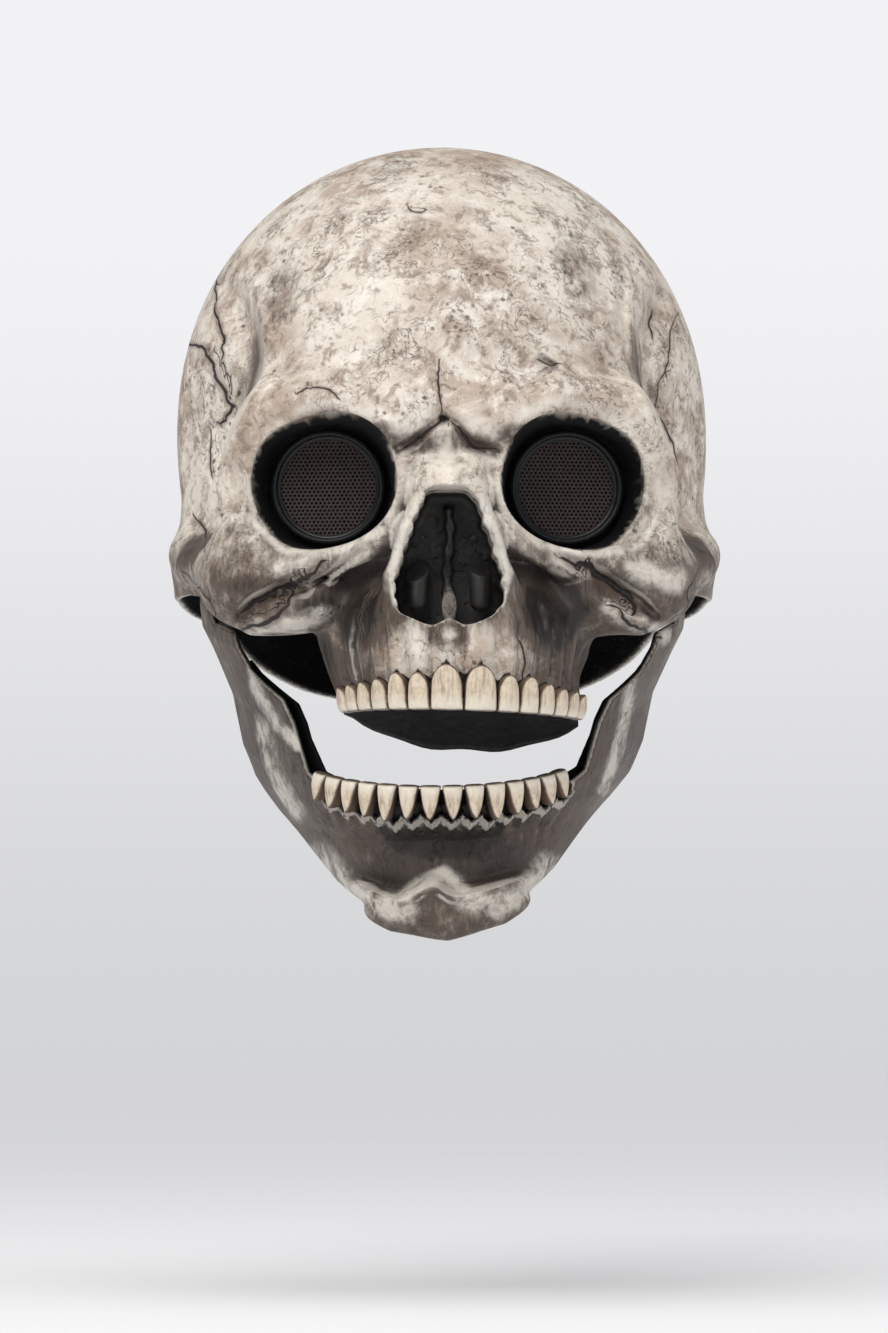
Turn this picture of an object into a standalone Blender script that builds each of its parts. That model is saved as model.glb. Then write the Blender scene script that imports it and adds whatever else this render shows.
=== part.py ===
"""A full-head skull mask of cast latex, with eye screens and a jaw that swings on two pins.

Sizes and tables are in millimetres, and MM turns them into Blender's metres.
+X is to the viewer's right, the face looks along -Y and +Z is up.
The origin is where the wearer's head touches the inside of the crown.
"""

import math

import bmesh
import bpy
import numpy as np

MM = 0.001

# Driving sizes
WALL = 3.0
GAP = 0.3
JAW_OPEN_DEG = 12.0
HINGE_Y, HINGE_Z = 4.0, -152.0

# Forms of the skull: name, centre, radii, blend with what came before
MIDDLE_FORMS = (
    ("vault", (-1, 14, -95.25), (97, 114, 99), 1),
    ("side_walls", (0, 16, -128), (94.5, 92, 120), 14),
    ("occiput", (0, 54, -118), (84, 74, 78), 14),
    ("nape", (0, 48, -165), (78, 58, 60), 14),
    ("forehead", (0, -52, -84), (58, 49, 40), 12),
    ("face_core", (0, -42, -140), (64, 52, 52), 12),
    ("glabella", (0, -96, -108), (24, 12, 14), 10),
    ("maxilla", (2, -60, -184), (47, 44, 36), 10),
    ("snout", (3, -84, -186), (35, 26, 26), 10),
)
# The same for forms on both sides, given at x > 0
PAIRED_FORMS = (
    ("cheekbone", (68, -72, -164), (21, 18, 18), 10),
    ("cheek_front", (56, -78, -170), (16, 14, 14), 8),
    ("eye_pad", (44, -66, -131), (31, 31, 27), 6),
    ("ear_region", (84, 11, -158), (16, 36, 32), 8),
)
# Rounded ridges: name, points, radius at each point, blend
PAIRED_RIDGES = (
    ("brow", ((8, -98, -115), (24, -100, -106), (45, -96, -100), (62, -86, -103), (73, -75, -115)),
     (8, 8.5, 8.5, 8, 7), 13),
    ("outer_rim", ((75, -71, -114), (75.5, -68, -130), (74, -69, -150)), (6, 6, 9), 6),
    ("lower_rim", ((74, -72, -152), (58, -85, -160), (42, -91, -160), (26, -95, -153)), (8, 6, 5, 5), 6),
    ("inner_rim", ((16, -99, -118), (17, -100, -132), (23, -96, -150)), (5, 4.5, 5), 6),
    ("cheek_arch", ((78, -60, -160), (87, -42, -155), (91, -15, -150), (91, 8, -149)), (11, 10, 9, 8), 8),
    ("nose_side", ((9, -109, -134), (16, -107, -150), (21, -104, -166), (20, -102, -180)), (4.5, 4.5, 5, 5), 6),
)
NASAL_BONES = ((0, -100, -118), (0, -107, -128), (0, -112, -137))
NASAL_RADII = (8.5, 8, 7.5)
# Hollows on both sides: name, centre, radii, blend
PAIRED_HOLLOWS = (
    ("temple_edge", (109.5, -71, -77), (44, 44, 66), 2.5),
    ("temple", (108, -42, -112), (22, 34, 40), 10),
    ("behind_rim", (98, -48, -128), (20, 20, 22), 5),
    ("beside_nose", (38, -116, -174), (12, 18, 11), 8),
    ("under_cheek", (64, -78, -200), (18, 34, 13), 5),
    ("under_arch", (92, -36, -187), (14, 30, 22), 5),
)
NASION = ((0, -119, -122), (12, 12, 5), 6)
CHEEK_SLIT = ((46, -98, -160), (57, -94, -170), (68, -87, -177))
SLIT_RADII = (3.5, 4.5, 3.5)

# Tooth-bearing drum of the upper jaw
UPPER_ARCH = {"x": 6.0, "y": -60.0, "rx": 44.0, "ry": 49.0, "middle_z": -196.0, "half_height": 16.0}

# Lower edge of the skull, by the direction seen from above: degrees from the front, height
SKULL_RIM = {
    "angle": (0, 44, 50, 55, 62, 76, 92, 112, 128, 140, 152, 180),
    "z": (-208, -208, -206, -186, -180, -172, -165, -165, -172, -184, -194, -202),
}
# Directions of the skull's columns on one side, and its rows
SKULL_ANGLES = (0, 6, 12, 17, 22, 27, 32, 37, 42, 46, 50, 54, 59, 65, 71, 78, 86, 96, 108, 122, 137, 152, 166, 180)
DOME_ELEVATIONS = (77, 63, 50, 38, 27, 17, 8)
LOWER_ROWS = 19
EYE_LEVEL = -100.0
AXIS_Y = {"z": (-212, -160, -100), "y": (-30, -18, 5)}

# Eye sockets: an oval well that narrows to a round floor
SOCKET_CENTRE = (45.0, -90.0, -131.5)
SOCKET_AXIS = (-0.12, 1.0, 0.03)
SOCKET_TILT_DEG = -12.0
SOCKET_MOUTH = (27.0, 23.5)
SOCKET_FLOOR_RADIUS = 21.3
SOCKET_DEPTH = 24.0
SOCKET_LINING = 2.6
LENS_RADIUS = 17.8
RING_HEIGHT = 3.5
SCREEN_THICK = 1.0
SCREEN_RADIUS = 19.6

# Nose opening: height, half width
NOSE_OUTLINE = ((-135.5, 7.5), (-142, 10.5), (-150, 13.5), (-158, 16), (-166, 18.2), (-173, 19),
                (-179, 16), (-182.5, 9.5))
NOSE_FRONT_Y, NOSE_BACK_Y = -135.0, -86.0
NOSE_LINING = 2.6
SEPTUM = {"half_thick": 1.4, "front_y": -103.0, "top_z": -140.0, "bottom_z": -181.0}

# Teeth, from the middle outwards: width, height above the gum edge
UPPER_TEETH = ((12.3, 16.0), (8.6, 13.0), (8.2, 13.0), (7.6, 11.0), (7.6, 10.0), (8.0, 9.5), (8.4, 9.0))
LOWER_TEETH = ((8.0, 12.0), (8.0, 12.0), (7.8, 12.5), (7.6, 11.5), (7.6, 11.0), (8.0, 10.0), (8.4, 9.5))
UPPER_TIP_Z = -213.0
LOWER_TIP_Z = -214.5
TOOTH_HALF_THICK = 3.4
TOOTH_ROOT = 4.0

# Dark inner lip that hangs behind the upper teeth
LIP_THICK = 2.2
LIP_REAR_Y = -66.0
LIP_SAG = 9.0

# Jaw in its closed position: heights, half width, reach of the front
JAW_SECTIONS = {
    "z": (-284, -272, -262, -250, -238, -228, -218, -200, -184, -176, -168, -160, -140),
    "half": (36, 44, 51, 58, 64.5, 71.5, 75.5, 79, 86, 90, 91, 90.6, 90.6),
    "front": (92, 101, 106, 105, 103, 108, 109, 109, 109, 109, 109, 109, 109),
}
JAW_CENTRE_Y = 26.0
CHIN_FORMS = (
    ("chin", (0, -96, -264), (18, 12, 11), 8),
    ("chin_corner_right", (20, -94, -267), (11, 10, 8), 8),
    ("chin_corner_left", (-20, -94, -267), (11, 10, 8), 8),
)
CHIN_HOLLOW = ((0, -116, -243), (26, 12, 10), 8)
# Edges of the jaw, by the angle along its section: degrees from the front, top, bottom
JAW_EDGES = {
    "angle": (0, 8, 16, 24, 31, 37, 41.5, 43.5, 46, 51.5, 56, 59, 63.6, 67, 70, 73, 75, 77.2, 80.6, 83, 85.2),
    "top": (-224, -224, -224, -224, -224, -224, -222, -206, -192, -188, -184, -172, -174, -177, -180,
            -169, -161.5, -145, -141, -144.5, -156),
    "bottom": (-272, -272, -272, -271, -270, -266.2, -262, -260, -257.3, -249.5, -244.2, -241.5, -239,
               -237.5, -235, -233.5, -232.5, -230, -218, -201, -177),
}
JAW_ROWS = 8

# Pins of the jaw, and the round bosses that carry them
PIN_RADIUS = 2.6
PIN_HOLE_RADIUS = 2.9
PIN_HEAD_RADIUS = 5.6
PIN_HEAD_THICK = 2.4
JAW_BOSS = {"radius": 8.5, "inner_x": 84.4, "outer_x": 92.2}
SKULL_BOSS = {"radius": 7.0, "inner_x": 92.6, "outer_x": 98.0, "floor_x": 96.6}
ROUND_SIDES = 16

# Materials: colour, roughness, metallic
FINISHES = {
    "bone_latex": ((0.66, 0.58, 0.48), 0.62, 0.0),
    "black_plastic": ((0.015, 0.015, 0.016), 0.35, 0.0),
    "black_screen": ((0.03, 0.022, 0.02), 0.5, 0.2),
}


def clear_scene():
    for old in list(bpy.data.objects):
        bpy.data.objects.remove(old)


def blend_in(a, b, k):
    """Union of two distances with a soft seam k wide."""
    h = np.clip(0.5 + 0.5 * (b - a) / k, 0, 1)
    return b * (1 - h) + a * h - k * h * (1 - h)


def carve(a, b, k):
    """The first distance with the second taken away, with a soft edge k wide."""
    return -blend_in(-a, b, k)


def both_of(a, b, k):
    """What lies in both distances, with a soft edge k wide."""
    return -blend_in(-a, -b, k)


def ball(p, centre, radii):
    """Distance from an ellipsoid, close to its surface."""
    q = (p - np.array(centre)) / np.array(radii)
    k0 = np.sqrt((q * q).sum(1))
    q = q / np.array(radii)
    return k0 * (k0 - 1) / np.maximum(np.sqrt((q * q).sum(1)), 1e-6)


def ridge(p, points, radii, k=4.0):
    """Distance from a chain of round bars through the points."""
    best = None
    for i in range(len(points) - 1):
        a, b = np.array(points[i], float), np.array(points[i + 1], float)
        ab = b - a
        t = np.clip(((p - a) @ ab) / (ab @ ab), 0, 1)
        d = np.linalg.norm((p - a) - t[:, None] * ab, axis=1) - (radii[i] + (radii[i + 1] - radii[i]) * t)
        best = d if best is None else blend_in(best, d, k)
    return best


def folded(p):
    """The points with both sides brought to x > 0."""
    q = p.copy()
    q[:, 0] = np.abs(q[:, 0])
    return q


def skull_form(p):
    """Distance from the skull's outside, before its sockets, nose and teeth."""
    m = folded(p)
    f = np.full(len(p), 1e3)
    for _, centre, radii, blend in MIDDLE_FORMS:
        f = blend_in(f, ball(p, centre, radii), blend)
    for _, centre, radii, blend in PAIRED_FORMS:
        f = blend_in(f, ball(m, centre, radii), blend)
    for _, points, radii, blend in PAIRED_RIDGES:
        f = blend_in(f, ridge(m, points, radii), blend)
    f = blend_in(f, ridge(p, NASAL_BONES, NASAL_RADII), 8)
    arch = UPPER_ARCH
    oval = np.hypot((p[:, 0] - arch["x"]) / arch["rx"], (p[:, 1] - arch["y"]) / arch["ry"])
    drum = both_of((oval - 1) * arch["rx"], np.abs(p[:, 2] - arch["middle_z"]) - arch["half_height"], 6)
    f = blend_in(f, drum, 8)
    for _, centre, radii, blend in PAIRED_HOLLOWS:
        f = carve(f, ball(m, centre, radii), blend)
    f = carve(f, ball(p, NASION[0], NASION[1]), NASION[2])
    return carve(f, ridge(m, CHEEK_SLIT, SLIT_RADII), 3)


def jaw_form(p):
    """Distance from the jaw's outside, in its closed position."""
    half = np.interp(p[:, 2], JAW_SECTIONS["z"], JAW_SECTIONS["half"])
    reach = np.interp(p[:, 2], JAW_SECTIONS["z"], JAW_SECTIONS["front"]) + JAW_CENTRE_Y
    u = p[:, 0] / half
    v = (p[:, 1] - JAW_CENTRE_Y) / reach
    f = (np.hypot(u, v) - 1) * np.minimum(half, reach)
    for _, centre, radii, blend in CHIN_FORMS:
        f = blend_in(f, ball(p, centre, radii), blend)
    return carve(f, ball(p, CHIN_HOLLOW[0], CHIN_HOLLOW[1]), CHIN_HOLLOW[2])


def cast(form, origin, direction, level, start, stop=0.0, step=1.5):
    """How far from each origin, coming inwards from start, the form first falls below level."""
    far = np.array(start, float)
    found = np.zeros(len(origin), bool)
    near = far.copy()
    while not found.all():
        trial = np.where(found, near, far - step)
        inside = form(origin + direction * trial[:, None]) < level
        spent = trial <= stop
        near = np.where(found, near, trial)
        found_now = (inside | spent) & ~found
        far = np.where(found | found_now, far, trial)
        found |= found_now
    for _ in range(12):
        middle = (far + near) / 2
        inside = form(origin + direction * middle[:, None]) < level
        near = np.where(inside, middle, near)
        far = np.where(inside, far, middle)
    return (far + near) / 2


def both_sides(angles):
    """Angles of one side made a full turn, without a double at the front or the back."""
    return [-a for a in reversed(angles[1:-1])] + list(angles)


def skull_rays():
    """Origins and directions of the skull's rows, from the crown to the rim, each a full turn."""
    rows = []
    angles = np.radians(both_sides(SKULL_ANGLES))
    flat = np.stack([np.sin(angles), -np.cos(angles), np.zeros(len(angles))], 1)
    rim = np.interp(np.abs(np.degrees(angles)), SKULL_RIM["angle"], SKULL_RIM["z"])
    for elevation in np.radians(DOME_ELEVATIONS):
        origin = np.tile((0.0, AXIS_Y["y"][-1], EYE_LEVEL), (len(angles), 1))
        direction = flat * math.cos(elevation)
        direction[:, 2] = math.sin(elevation)
        rows.append((origin, direction))
    for i in range(LOWER_ROWS):
        z = EYE_LEVEL + (rim - EYE_LEVEL) * i / (LOWER_ROWS - 1)
        y = np.interp(z, AXIS_Y["z"], AXIS_Y["y"])
        rows.append((np.stack([np.zeros(len(z)), y, z], 1), flat))
    return rows


def skull_layer(level, above=None):
    """The skull's crown point and rows of points at a depth below its outside."""
    origin = np.array([[0.0, 0.0, EYE_LEVEL]])
    up = np.array([[0.0, 0.0, 1.0]])
    crown = origin + up * cast(skull_form, origin, up, level, [150.0])[:, None]
    rows = []
    reaches = []
    for i, (start, direction) in enumerate(skull_rays()):
        outer = [165.0] * len(start) if above is None else above[i]
        reach = cast(skull_form, start, direction, level, outer)
        reaches.append(reach)
        rows.append(start + direction * reach[:, None])
    return crown[0], rows, reaches


def new_object(name, verts, faces, finish):
    mesh = bpy.data.meshes.new(name)
    mesh.from_pydata([tuple(np.array(v) * MM) for v in verts], [], faces)
    mesh.update()
    made = bpy.data.objects.new(name, mesh)
    bpy.context.scene.collection.objects.link(made)
    if finish:
        mesh.materials.append(material(finish))
    return made


def material(name):
    found = bpy.data.materials.get(name)
    if found:
        return found
    colour, roughness, metallic = FINISHES[name]
    made = bpy.data.materials.new(name)
    made.use_nodes = True
    shader = made.node_tree.nodes["Principled BSDF"]
    shader.inputs["Base Color"].default_value = (*colour, 1)
    shader.inputs["Roughness"].default_value = roughness
    shader.inputs["Metallic"].default_value = metallic
    return made


def outward(made):
    """Makes the faces of a closed mesh point out."""
    shape = bmesh.new()
    shape.from_mesh(made.data)
    bmesh.ops.recalc_face_normals(shape, faces=shape.faces)
    shape.to_mesh(made.data)
    shape.free()
    return made


def smooth(made, degrees=40):
    made.data.shade_smooth()
    made.data.set_sharp_from_angle(angle=math.radians(degrees))
    return made


def lofted(name, rings, finish=None, middle_caps=False):
    """A solid through closed rings of points, capped at both ends."""
    count = len(rings[0])
    verts = [tuple(v) for ring in rings for v in ring]
    faces = []
    for i in range(len(rings) - 1):
        for j in range(count):
            k = (j + 1) % count
            faces.append((i * count + j, i * count + k, (i + 1) * count + k, (i + 1) * count + j))
    last = (len(rings) - 1) * count
    if middle_caps:
        for start, ring in ((0, rings[0]), (last, rings[-1])):
            verts.append(tuple(np.mean(np.array(ring), axis=0)))
            faces += [(start + j, start + (j + 1) % count, len(verts) - 1) for j in range(count)]
    else:
        faces += [tuple(range(count)), tuple(range(last, last + count))]
    return outward(new_object(name, verts, faces, finish))


def tool(made):
    """Marks an object that only cuts or joins another."""
    made.hide_render = True
    made.display_type = "WIRE"
    return made


def boolean(target, operand, operation):
    step = target.modifiers.new(operand.name, "BOOLEAN")
    step.operation = operation
    step.solver = "EXACT"
    step.object = operand
    return target


def fixed(made):
    """Replaces the mesh by what its modifiers make of it."""
    graph = bpy.context.evaluated_depsgraph_get()
    graph.update()
    mesh = bpy.data.meshes.new_from_object(made.evaluated_get(graph))
    made.modifiers.clear()
    made.data = mesh
    return made


def layer_solid(name, crown, rows):
    """The closed solid inside one layer of the skull, filled down to its rim."""
    return lofted(name, [[crown + (point - crown) * 0.02 for point in rows[0]]] + rows, None, True)


def circle(centre, axis, radius, sides=ROUND_SIDES, turn=0.0):
    """Points of a circle round an axis."""
    axis = np.array(axis, float) / np.linalg.norm(axis)
    side = np.cross(axis, (0, 0, 1) if abs(axis[2]) < 0.9 else (1, 0, 0))
    side /= np.linalg.norm(side)
    up = np.cross(side, axis)
    angles = [2 * math.pi * i / sides + turn for i in range(sides)]
    return [np.array(centre) + radius * (math.cos(a) * side + math.sin(a) * up) for a in angles]


def socket_axis(side):
    axis = np.array(SOCKET_AXIS) * (side, 1, 1)
    return axis / np.linalg.norm(axis)


def socket_point(side, depth):
    return np.array(SOCKET_CENTRE) * (side, 1, 1) + socket_axis(side) * depth


def socket_ring(side, depth, grow):
    """The socket's section at a depth: oval at the mouth, round at the floor."""
    t = min(max((depth + 14) / (SOCKET_DEPTH + 14), 0), 1)
    wide = SOCKET_MOUTH[0] + (SOCKET_FLOOR_RADIUS - SOCKET_MOUTH[0]) * t + grow
    tall = SOCKET_MOUTH[1] + (SOCKET_FLOOR_RADIUS - SOCKET_MOUTH[1]) * t + grow
    axis = socket_axis(side)
    across = np.cross(axis, (0, 0, 1))
    across /= np.linalg.norm(across)
    up = np.cross(across, axis)
    tilt = math.radians(SOCKET_TILT_DEG) * side
    points = []
    for i in range(28):
        a = 2 * math.pi * i / 28
        u, v = wide * math.cos(a), tall * math.sin(a)
        points.append(socket_point(side, depth) + across * (u * math.cos(tilt) - v * math.sin(tilt))
                      + up * (u * math.sin(tilt) + v * math.cos(tilt)))
    return points


def nose_ring(y, grow):
    """The nose opening's outline at one depth, moved outwards by grow."""
    right = [(half + grow, z) for z, half in NOSE_OUTLINE]
    top, bottom = right[0], right[-1]
    right[0] = (top[0], top[1] + grow * 2.5)
    right[-1] = (bottom[0], bottom[1] - grow)
    left = [(-x, z) for x, z in reversed(right)]
    return [(x, y, z) for x, z in right + left]


def block(name, low, high):
    (x0, y0, z0), (x1, y1, z1) = low, high
    rings = [[(x0, y0, z), (x1, y0, z), (x1, y1, z), (x0, y1, z)] for z in (z0, z1)]
    return lofted(name, rings)


def tooth(name, centre, outwards, width, tip_z, root_z, half_thick=TOOTH_HALF_THICK):
    """A tooth that stands on a row: broad at the tip and narrower at the root."""
    out = np.array((*outwards, 0.0))
    along = np.array((-outwards[1], outwards[0], 0.0))
    height = root_z - tip_z
    levels = ((0.0, 0.42, 0.66), (0.12, 0.47, 0.92), (0.5, 0.46, 1.0), (1.0, 0.32, 1.05))
    rings = []
    for share, half_width, thick in levels:
        middle = np.array((centre[0], centre[1], tip_z + height * share))
        ring = []
        for i in range(6):
            a = 2 * math.pi * (i + 0.5) / 6
            u = math.copysign(abs(math.cos(a)) ** 0.6, math.cos(a)) * width * half_width
            w = math.copysign(abs(math.sin(a)) ** 0.6, math.sin(a)) * half_thick * thick
            ring.append(middle + along * u + out * w)
        rings.append(ring)
    return lofted(name, rings)


def arch_stations(curve, widths):
    """Centres and outward directions of teeth set side by side along a curve from its middle."""
    samples = np.array([curve(a) for a in np.linspace(0, math.pi / 2, 400)])
    run = np.concatenate([[0], np.cumsum(np.linalg.norm(np.diff(samples, axis=0), axis=1))])
    stations = []
    start = 0.0
    for width in widths:
        x, y = (np.interp(start + width / 2, run, samples[:, n]) for n in range(2))
        x2, y2 = (np.interp(start + width / 2 + 0.5, run, samples[:, n]) for n in range(2))
        length = math.hypot(x2 - x, y2 - y)
        stations.append(((x, y), ((y2 - y) / length, -(x2 - x) / length)))
        start += width
    return stations


def upper_curve(a):
    return (UPPER_ARCH["rx"] - 3.2) * math.sin(a), UPPER_ARCH["y"] - (UPPER_ARCH["ry"] - 3.2) * math.cos(a)


def lower_curve(a):
    half, reach = (np.interp(LOWER_TIP_Z, JAW_SECTIONS["z"], JAW_SECTIONS[k]) for k in ("half", "front"))
    return (half - 4.0) * math.sin(a), JAW_CENTRE_Y - (reach + JAW_CENTRE_Y - 4.0) * math.cos(a)


def tooth_row(prefix, table, curve, shift, tip_z, direction):
    """The teeth of one row on both sides; direction is +1 where roots are above the tips."""
    made = []
    for n, ((x, y), out) in enumerate(arch_stations(curve, [row[0] for row in table])):
        width, height = table[n]
        root_z = tip_z + direction * (height + TOOTH_ROOT)
        for side, word in ((1, "right"), (-1, "left")):
            name = f"{prefix}_{n + 1}_{word}"
            outwards = (out[0] * side, out[1])
            made.append(tooth(name, (x * side + shift, y), outwards, width, tip_z, root_z))
    return made


def lip_solid():
    """The sagging dark lip that closes the upper arch behind its teeth."""
    arch = UPPER_ARCH
    front = arch["y"] - arch["ry"] + 5.0
    rings = []
    for j in range(7):
        y = front + (LIP_REAR_Y - front) * j / 6
        wide = (arch["rx"] - 3.0) * math.sqrt(max(1 - ((y - arch["y"]) / (arch["ry"] - 2.0)) ** 2, 0.02))
        top, under = [], []
        for i in range(9):
            u = -1 + 2 * i / 8
            z = -206.0 - LIP_SAG * (1 - u * u) * (j / 6) - 2.0 * (j / 6)
            top.append((arch["x"] + wide * u, y, z + LIP_THICK))
            under.append((arch["x"] + wide * u, y, z))
        rings.append(top + under[::-1])
    return lofted("lip", rings)


def make_skull():
    """The cast skull: a thin wall with lined eye sockets, nose, upper teeth and pin bosses."""
    crown, outer, reaches = skull_layer(0.0)
    crown_in, inner, _ = skull_layer(-WALL, [r + 0.01 for r in reaches])
    count = len(outer[0])
    verts = [crown] + [v for row in outer for v in row] + [crown_in] + [v for row in inner for v in row]
    inside = 1 + len(outer) * count
    faces = []
    for base, crown_index in ((1, 0), (inside + 1, inside)):
        for j in range(count):
            k = (j + 1) % count
            faces.append((crown_index, base + j, base + k))
            for i in range(len(outer) - 1):
                a, b = base + i * count, base + (i + 1) * count
                faces.append((a + j, b + j, b + k, a + k))
    last = (len(outer) - 1) * count
    for j in range(count):
        k = (j + 1) % count
        faces.append((1 + last + j, 1 + last + k, inside + 1 + last + k, inside + 1 + last + j))
    skull = outward(new_object("skull_shell", verts, faces, "bone_latex"))

    core_crown, core_rows, _ = skull_layer(-WALL * 0.45)
    core = tool(layer_solid("core", core_crown, core_rows))
    additions = []
    cuts = []
    for side, word in ((1, "right"), (-1, "left")):
        depths = (-45, -14, SOCKET_DEPTH * 0.4, SOCKET_DEPTH + SOCKET_LINING)
        cup = lofted(f"cup_{word}", [socket_ring(side, d, SOCKET_LINING) for d in depths])
        additions.append(fixed(boolean(tool(cup), core, "INTERSECT")))
        depths = (-60, -14, SOCKET_DEPTH * 0.4, SOCKET_DEPTH)
        cuts.append(tool(lofted(f"well_{word}", [socket_ring(side, d, 0) for d in depths])))
        lens = [circle(socket_point(side, d), socket_axis(side), LENS_RADIUS, 28) for d in (0, 40)]
        cuts.append(tool(lofted(f"lens_hole_{word}", lens)))
        boss = [circle((x * side, HINGE_Y, HINGE_Z), (1, 0, 0), SKULL_BOSS["radius"])
                for x in (SKULL_BOSS["inner_x"], SKULL_BOSS["outer_x"])]
        additions.append(tool(lofted(f"skull_boss_{word}", boss)))
        blind = [circle((x * side, HINGE_Y, HINGE_Z), (1, 0, 0), PIN_HOLE_RADIUS)
                 for x in (SKULL_BOSS["inner_x"] - 2, SKULL_BOSS["floor_x"])]
        cuts.append(tool(lofted(f"blind_hole_{word}", blind)))
    nose = lofted("nose_cup", [nose_ring(y, NOSE_LINING) for y in (NOSE_FRONT_Y, NOSE_BACK_Y + NOSE_LINING)])
    additions.append(fixed(boolean(tool(nose), core, "INTERSECT")))
    cuts.append(tool(lofted("nose_well", [nose_ring(y, 0) for y in (NOSE_FRONT_Y - 5, NOSE_BACK_Y)])))
    for operand in additions:
        boolean(skull, operand, "UNION")
    for operand in cuts:
        boolean(skull, operand, "DIFFERENCE")
    thick = SEPTUM["half_thick"]
    septum = block("septum", (-thick, SEPTUM["front_y"], SEPTUM["bottom_z"] - 2),
                   (thick, NOSE_BACK_Y + 1.2, SEPTUM["top_z"]))
    boolean(skull, tool(septum), "UNION")
    boolean(skull, tool(lip_solid()), "UNION")
    for piece in tooth_row("upper_tooth", UPPER_TEETH, upper_curve, UPPER_ARCH["x"], UPPER_TIP_Z, 1):
        boolean(skull, tool(piece), "UNION")
    return smooth(fixed(skull))


def opened(points):
    """Points of the closed jaw turned down to the open rest position."""
    a = math.radians(JAW_OPEN_DEG)
    q = np.array(points, float)
    dy, dz = q[:, 1] - HINGE_Y, q[:, 2] - HINGE_Z
    q[:, 1] = HINGE_Y + dy * math.cos(a) - dz * math.sin(a)
    q[:, 2] = HINGE_Z + dy * math.sin(a) + dz * math.cos(a)
    return q


def open_jaw_object(made):
    co = np.array([v.co for v in made.data.vertices]) / MM
    for vertex, place in zip(made.data.vertices, opened(co)):
        vertex.co = place * MM
    return made


def make_jaw():
    """The jaw: one curved wall from hinge to hinge, with its teeth and pin bosses."""
    side_angles = JAW_EDGES["angle"]
    angles = [-a for a in reversed(side_angles[1:])] + list(side_angles)
    outer, inner = [], []
    for angle in angles:
        top, bottom = (np.interp(abs(angle), side_angles, JAW_EDGES[k]) for k in ("top", "bottom"))
        z = np.linspace(top, bottom, JAW_ROWS)
        half = np.interp(z, JAW_SECTIONS["z"], JAW_SECTIONS["half"])
        reach = np.interp(z, JAW_SECTIONS["z"], JAW_SECTIONS["front"]) + JAW_CENTRE_Y
        a = math.radians(angle)
        direction = np.stack([half * math.sin(a), -reach * math.cos(a), np.zeros(len(z))], 1)
        direction /= np.linalg.norm(direction, axis=1)[:, None]
        start = np.stack([np.zeros(len(z)), np.full(len(z), JAW_CENTRE_Y), z], 1)
        far = cast(jaw_form, start, direction, 0.0, [160.0] * len(z))
        near = cast(jaw_form, start, direction, -WALL, far + 0.01)
        outer.append(start + direction * far[:, None])
        inner.append(start + direction * near[:, None])
    rows = JAW_ROWS
    verts = [v for column in outer + inner for v in column]
    inside = len(outer) * rows
    faces = []
    for i in range(len(outer) - 1):
        a, b = i * rows, (i + 1) * rows
        for j in range(rows - 1):
            faces.append((a + j, b + j, b + j + 1, a + j + 1))
            faces.append((inside + a + j, inside + b + j, inside + b + j + 1, inside + a + j + 1))
        for j in (0, rows - 1):
            faces.append((a + j, b + j, inside + b + j, inside + a + j))
    for a in (0, inside - rows):
        for j in range(rows - 1):
            faces.append((a + j, a + j + 1, inside + a + j + 1, inside + a + j))
    jaw = outward(new_object("jaw_shell", verts, faces, "bone_latex"))
    for piece in tooth_row("lower_tooth", LOWER_TEETH, lower_curve, 0.0, LOWER_TIP_Z, -1):
        boolean(jaw, tool(piece), "UNION")
    open_jaw_object(fixed(jaw))
    for side, word in ((1, "right"), (-1, "left")):
        boss = [circle((x * side, HINGE_Y, HINGE_Z), (1, 0, 0), JAW_BOSS["radius"])
                for x in (JAW_BOSS["inner_x"], JAW_BOSS["outer_x"])]
        boolean(jaw, tool(lofted(f"jaw_boss_{word}", boss)), "UNION")
        hole = [circle((x * side, HINGE_Y, HINGE_Z), (1, 0, 0), PIN_HOLE_RADIUS) for x in (80, 100)]
        boolean(jaw, tool(lofted(f"pin_hole_{word}", hole)), "DIFFERENCE")
    return smooth(fixed(jaw))


def make_pin(side, word):
    """A headed pin from inside the jaw's boss into the blind hole of the skull's boss."""
    head = JAW_BOSS["inner_x"] - GAP
    stations = ((head - PIN_HEAD_THICK, PIN_HEAD_RADIUS), (head, PIN_HEAD_RADIUS),
                (head, PIN_RADIUS), (SKULL_BOSS["floor_x"] - GAP, PIN_RADIUS))
    rings = [circle((x * side, HINGE_Y, HINGE_Z), (1, 0, 0), radius) for x, radius in stations]
    return smooth(lofted(f"jaw_pin_{word}", rings, "black_plastic"))


def turned_band(name, side, profile, finish, sides=28):
    """A closed band round a socket's axis from its profile: depth, radius."""
    rings = [circle(socket_point(side, depth), socket_axis(side), radius, sides) for depth, radius in profile]
    verts = [tuple(v) for ring in rings for v in ring]
    faces = []
    for i in range(len(rings)):
        n = (i + 1) % len(rings)
        for j in range(sides):
            k = (j + 1) % sides
            faces.append((i * sides + j, i * sides + k, n * sides + k, n * sides + j))
    return smooth(outward(new_object(name, verts, faces, finish)))


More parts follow.
